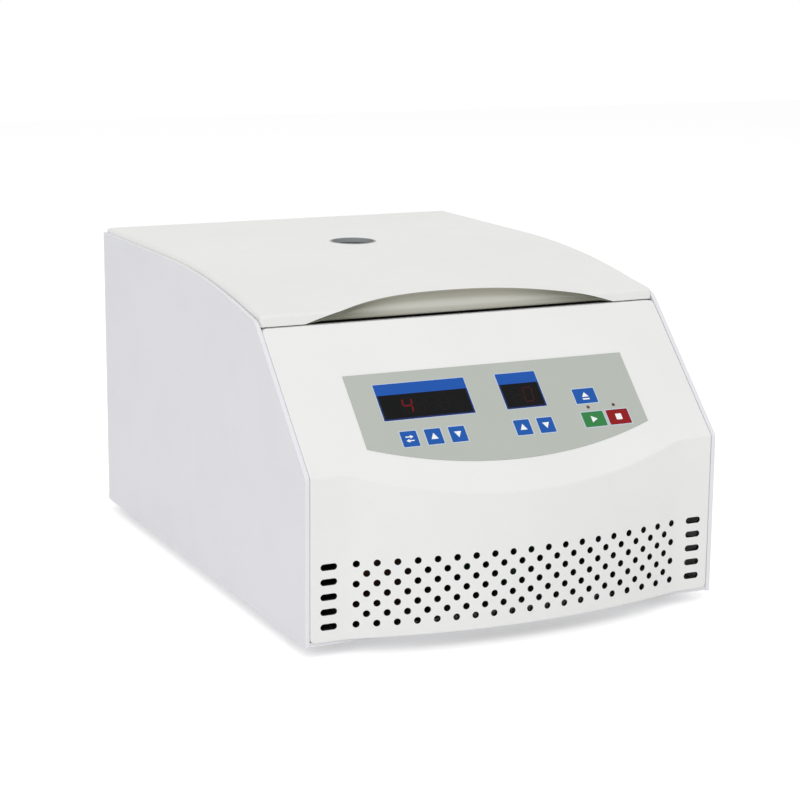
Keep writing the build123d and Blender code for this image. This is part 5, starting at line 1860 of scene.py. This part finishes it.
    def build(self) -> None:
        """Make the sub-assembly."""
        self.cover()
        self.inside()
        self.seal()
        self.soften("lid", "port_trim", self.trim_edge, "port_ring")
        self.soften("lid", "liner_plastic", self.liner_edge, "lid_liner")
        self.soften("lid", "bearing_steel", self.trim_edge, "lid_striker")
        self.dress("port_glass", "port_window")
        self.dress("bearing_steel", "lid_screws")


@dataclass
class Hardware(Workshop):
    """Hinges, gas struts and the lid latch."""

    edge: float = 0.3

    def build(self) -> None:
        """Make the sub-assembly."""
        self.soften("lid", "base_zinc", self.edge, "lid_hinge_leaves", "lid_strut_tabs")
        self.soften("cabinet", "base_zinc", self.edge, "hinge_brackets", "strut_mounts", "latch_frame")
        self.soften("latch_hook_body", "bearing_steel", self.edge, "latch_hook")
        self.dress("strut_black", "strut_cylinder_left", "strut_cylinder_right")
        self.dress("bearing_steel", "hinge_pins", "strut_rod_left", "strut_rod_right", "latch_plunger")
        self.dress("coil_wrap", "latch_coil")


@dataclass
class Chamber(Workshop):
    """Steel bowl in its deck, with the guard ring and gasket."""

    deck_edge: float = 0.4

    def build(self) -> None:
        """Make the sub-assembly."""
        self.soften("cabinet", "deck_paint", self.deck_edge, "chamber_deck")
        self.dress("bowl_steel", "chamber_bowl")
        self.dress("seal_rubber", "chamber_gasket")
        self.dress("guard_steel", "guard_ring")


@dataclass
class Drive(Workshop):
    """Motor on its dampers, and the rotor with its swing-out plate carriers."""

    yoke_edge: float = 0.6
    nut_edge: float = 0.5
    carrier_edge: float = 0.35

    def build(self) -> None:
        """Make the sub-assembly."""
        self.soften("rotor", "rotor_alloy", self.yoke_edge, "rotor_yoke")
        self.soften("rotor", "bearing_steel", self.nut_edge, "rotor_nut")
        for side in ("left", "right"):
            self.soften(f"carrier_{side}", "carrier_steel", self.carrier_edge, f"plate_carrier_{side}")
        self.dress("motor_alloy", "motor_plate", "motor_housing")
        self.dress("bearing_steel", "motor_shaft", "trunnion_pins", "motor_bearings")
        self.dress("foot_rubber", "motor_dampers", "shaft_boot")


@dataclass
class Electronics(Workshop):
    """Power board and transformer on the base."""

    def build(self) -> None:
        """Make the sub-assembly."""
        self.dress("circuit_board", "control_board")
        self.dress("coil_wrap", "transformer")


def make_finishes() -> dict[str, bpy.types.Material]:
    """Make every finish on the machine.

    Returns:
        The materials, by name.
    """
    kinds: list[Finish] = [
        Coating("front_moulding", "efefee", 0.3, 800.0),
        # the bore walls are moulding; their near-black colour is painted shade
        Coating("vent_lining", "0c0c0d", 0.6),
        Coating("cabinet_paint", "ebebef", 0.42, 1400.0, 0.00003),
        Coating("lid_moulding", "eeeeec", 0.32, 800.0),
        # painted shade in the scoop: colours under the lip, on its open floor and at its ends
        PaintedRecessShade("scoop_moulding", "a4a397", "cdccc2", "66675a"),
        Coating("deck_paint", "cfd1d3", 0.45, 1400.0, 0.00003),
        Coating("liner_plastic", "d6d8d6", 0.5),
        Coating("port_trim", "a4a7a8", 0.4),
        Coating("strut_black", "18181a", 0.3),
        Coating("black_plastic", "131314", 0.5, 1200.0, 0.00004),
        Coating("rocker_plastic", "101011", 0.22),
        Coating("lamp_lens", "5a2a24", 0.22),
        Film("overlay_film", "b3b8b1"),
        Film("pale_print", "c3d2e4"),
        Film("blue_print", "0c50a8", 0.5, 0.25),
        Film("navy_print", "142a66", 0.5, 0.2),
        Film("key_blue_print", "0f54a8", 0.5, 0.25),
        Film("key_green_print", "2c7c40", 0.5, 0.25),
        Film("key_red_print", "8c0a10", 0.5, 0.2),
        Film("key_icon", "f2f4f4"),
        Film("segment_dark", "0e0a0b", 0.3, 0.12),
        Film("segment_faint", "34090e", 0.3, 0.12),
        Window("display_filter", "050607", "0a0a0b"),
        Lamp("segment_lit", "5a0810", "b01428", 0.13),
        Glass("port_glass", "26292a"),
        Board("circuit_board", "1c5a34", "2f7a48"),
        # painted groove shade, then the copper
        Winding("coil_wrap", "1c120a", "6a3c1c"),
        Rubber("foot_rubber", "1a1a1b"),
        Rubber("seal_rubber", "141414", 900.0, 0.00008),
        # seal strip in near-black, almost glossless rubber: painted shade for the gap under the scoop
        Rubber("strip_rubber", "060606", specular=0.05),
        Metal("base_zinc", "b9bcc0", 0.38),
        Metal("bowl_steel", "c9cbcd", 0.28, Lay.ROUND_AXIS, centre_y=92.7),
        Metal("guard_steel", "5b5d60", 0.5),
        Metal("motor_alloy", "a9abad", 0.45),
        Metal("bearing_steel", "c7c8cb", 0.22),
        Metal("rotor_alloy", "bfc2c6", 0.32, Lay.ALONG_X),
        Metal("carrier_steel", "c2c4c6", 0.3, Lay.ALONG_Y),
    ]
    return {kind.name: kind.make() for kind in kinds}


def main() -> None:
    """Build the machine, then the studio round it."""
    logging.basicConfig(level=logging.INFO, format="%(message)s")
    finishes = make_finishes()
    console = Console(finishes)
    console.build()
    Keypad(finishes, console).build()
    for part in (Cabinet, Lid, Hardware, Chamber, Drive, Electronics):
        part(finishes).build()
    Studio().build()


if __name__ == "__main__":
    main()
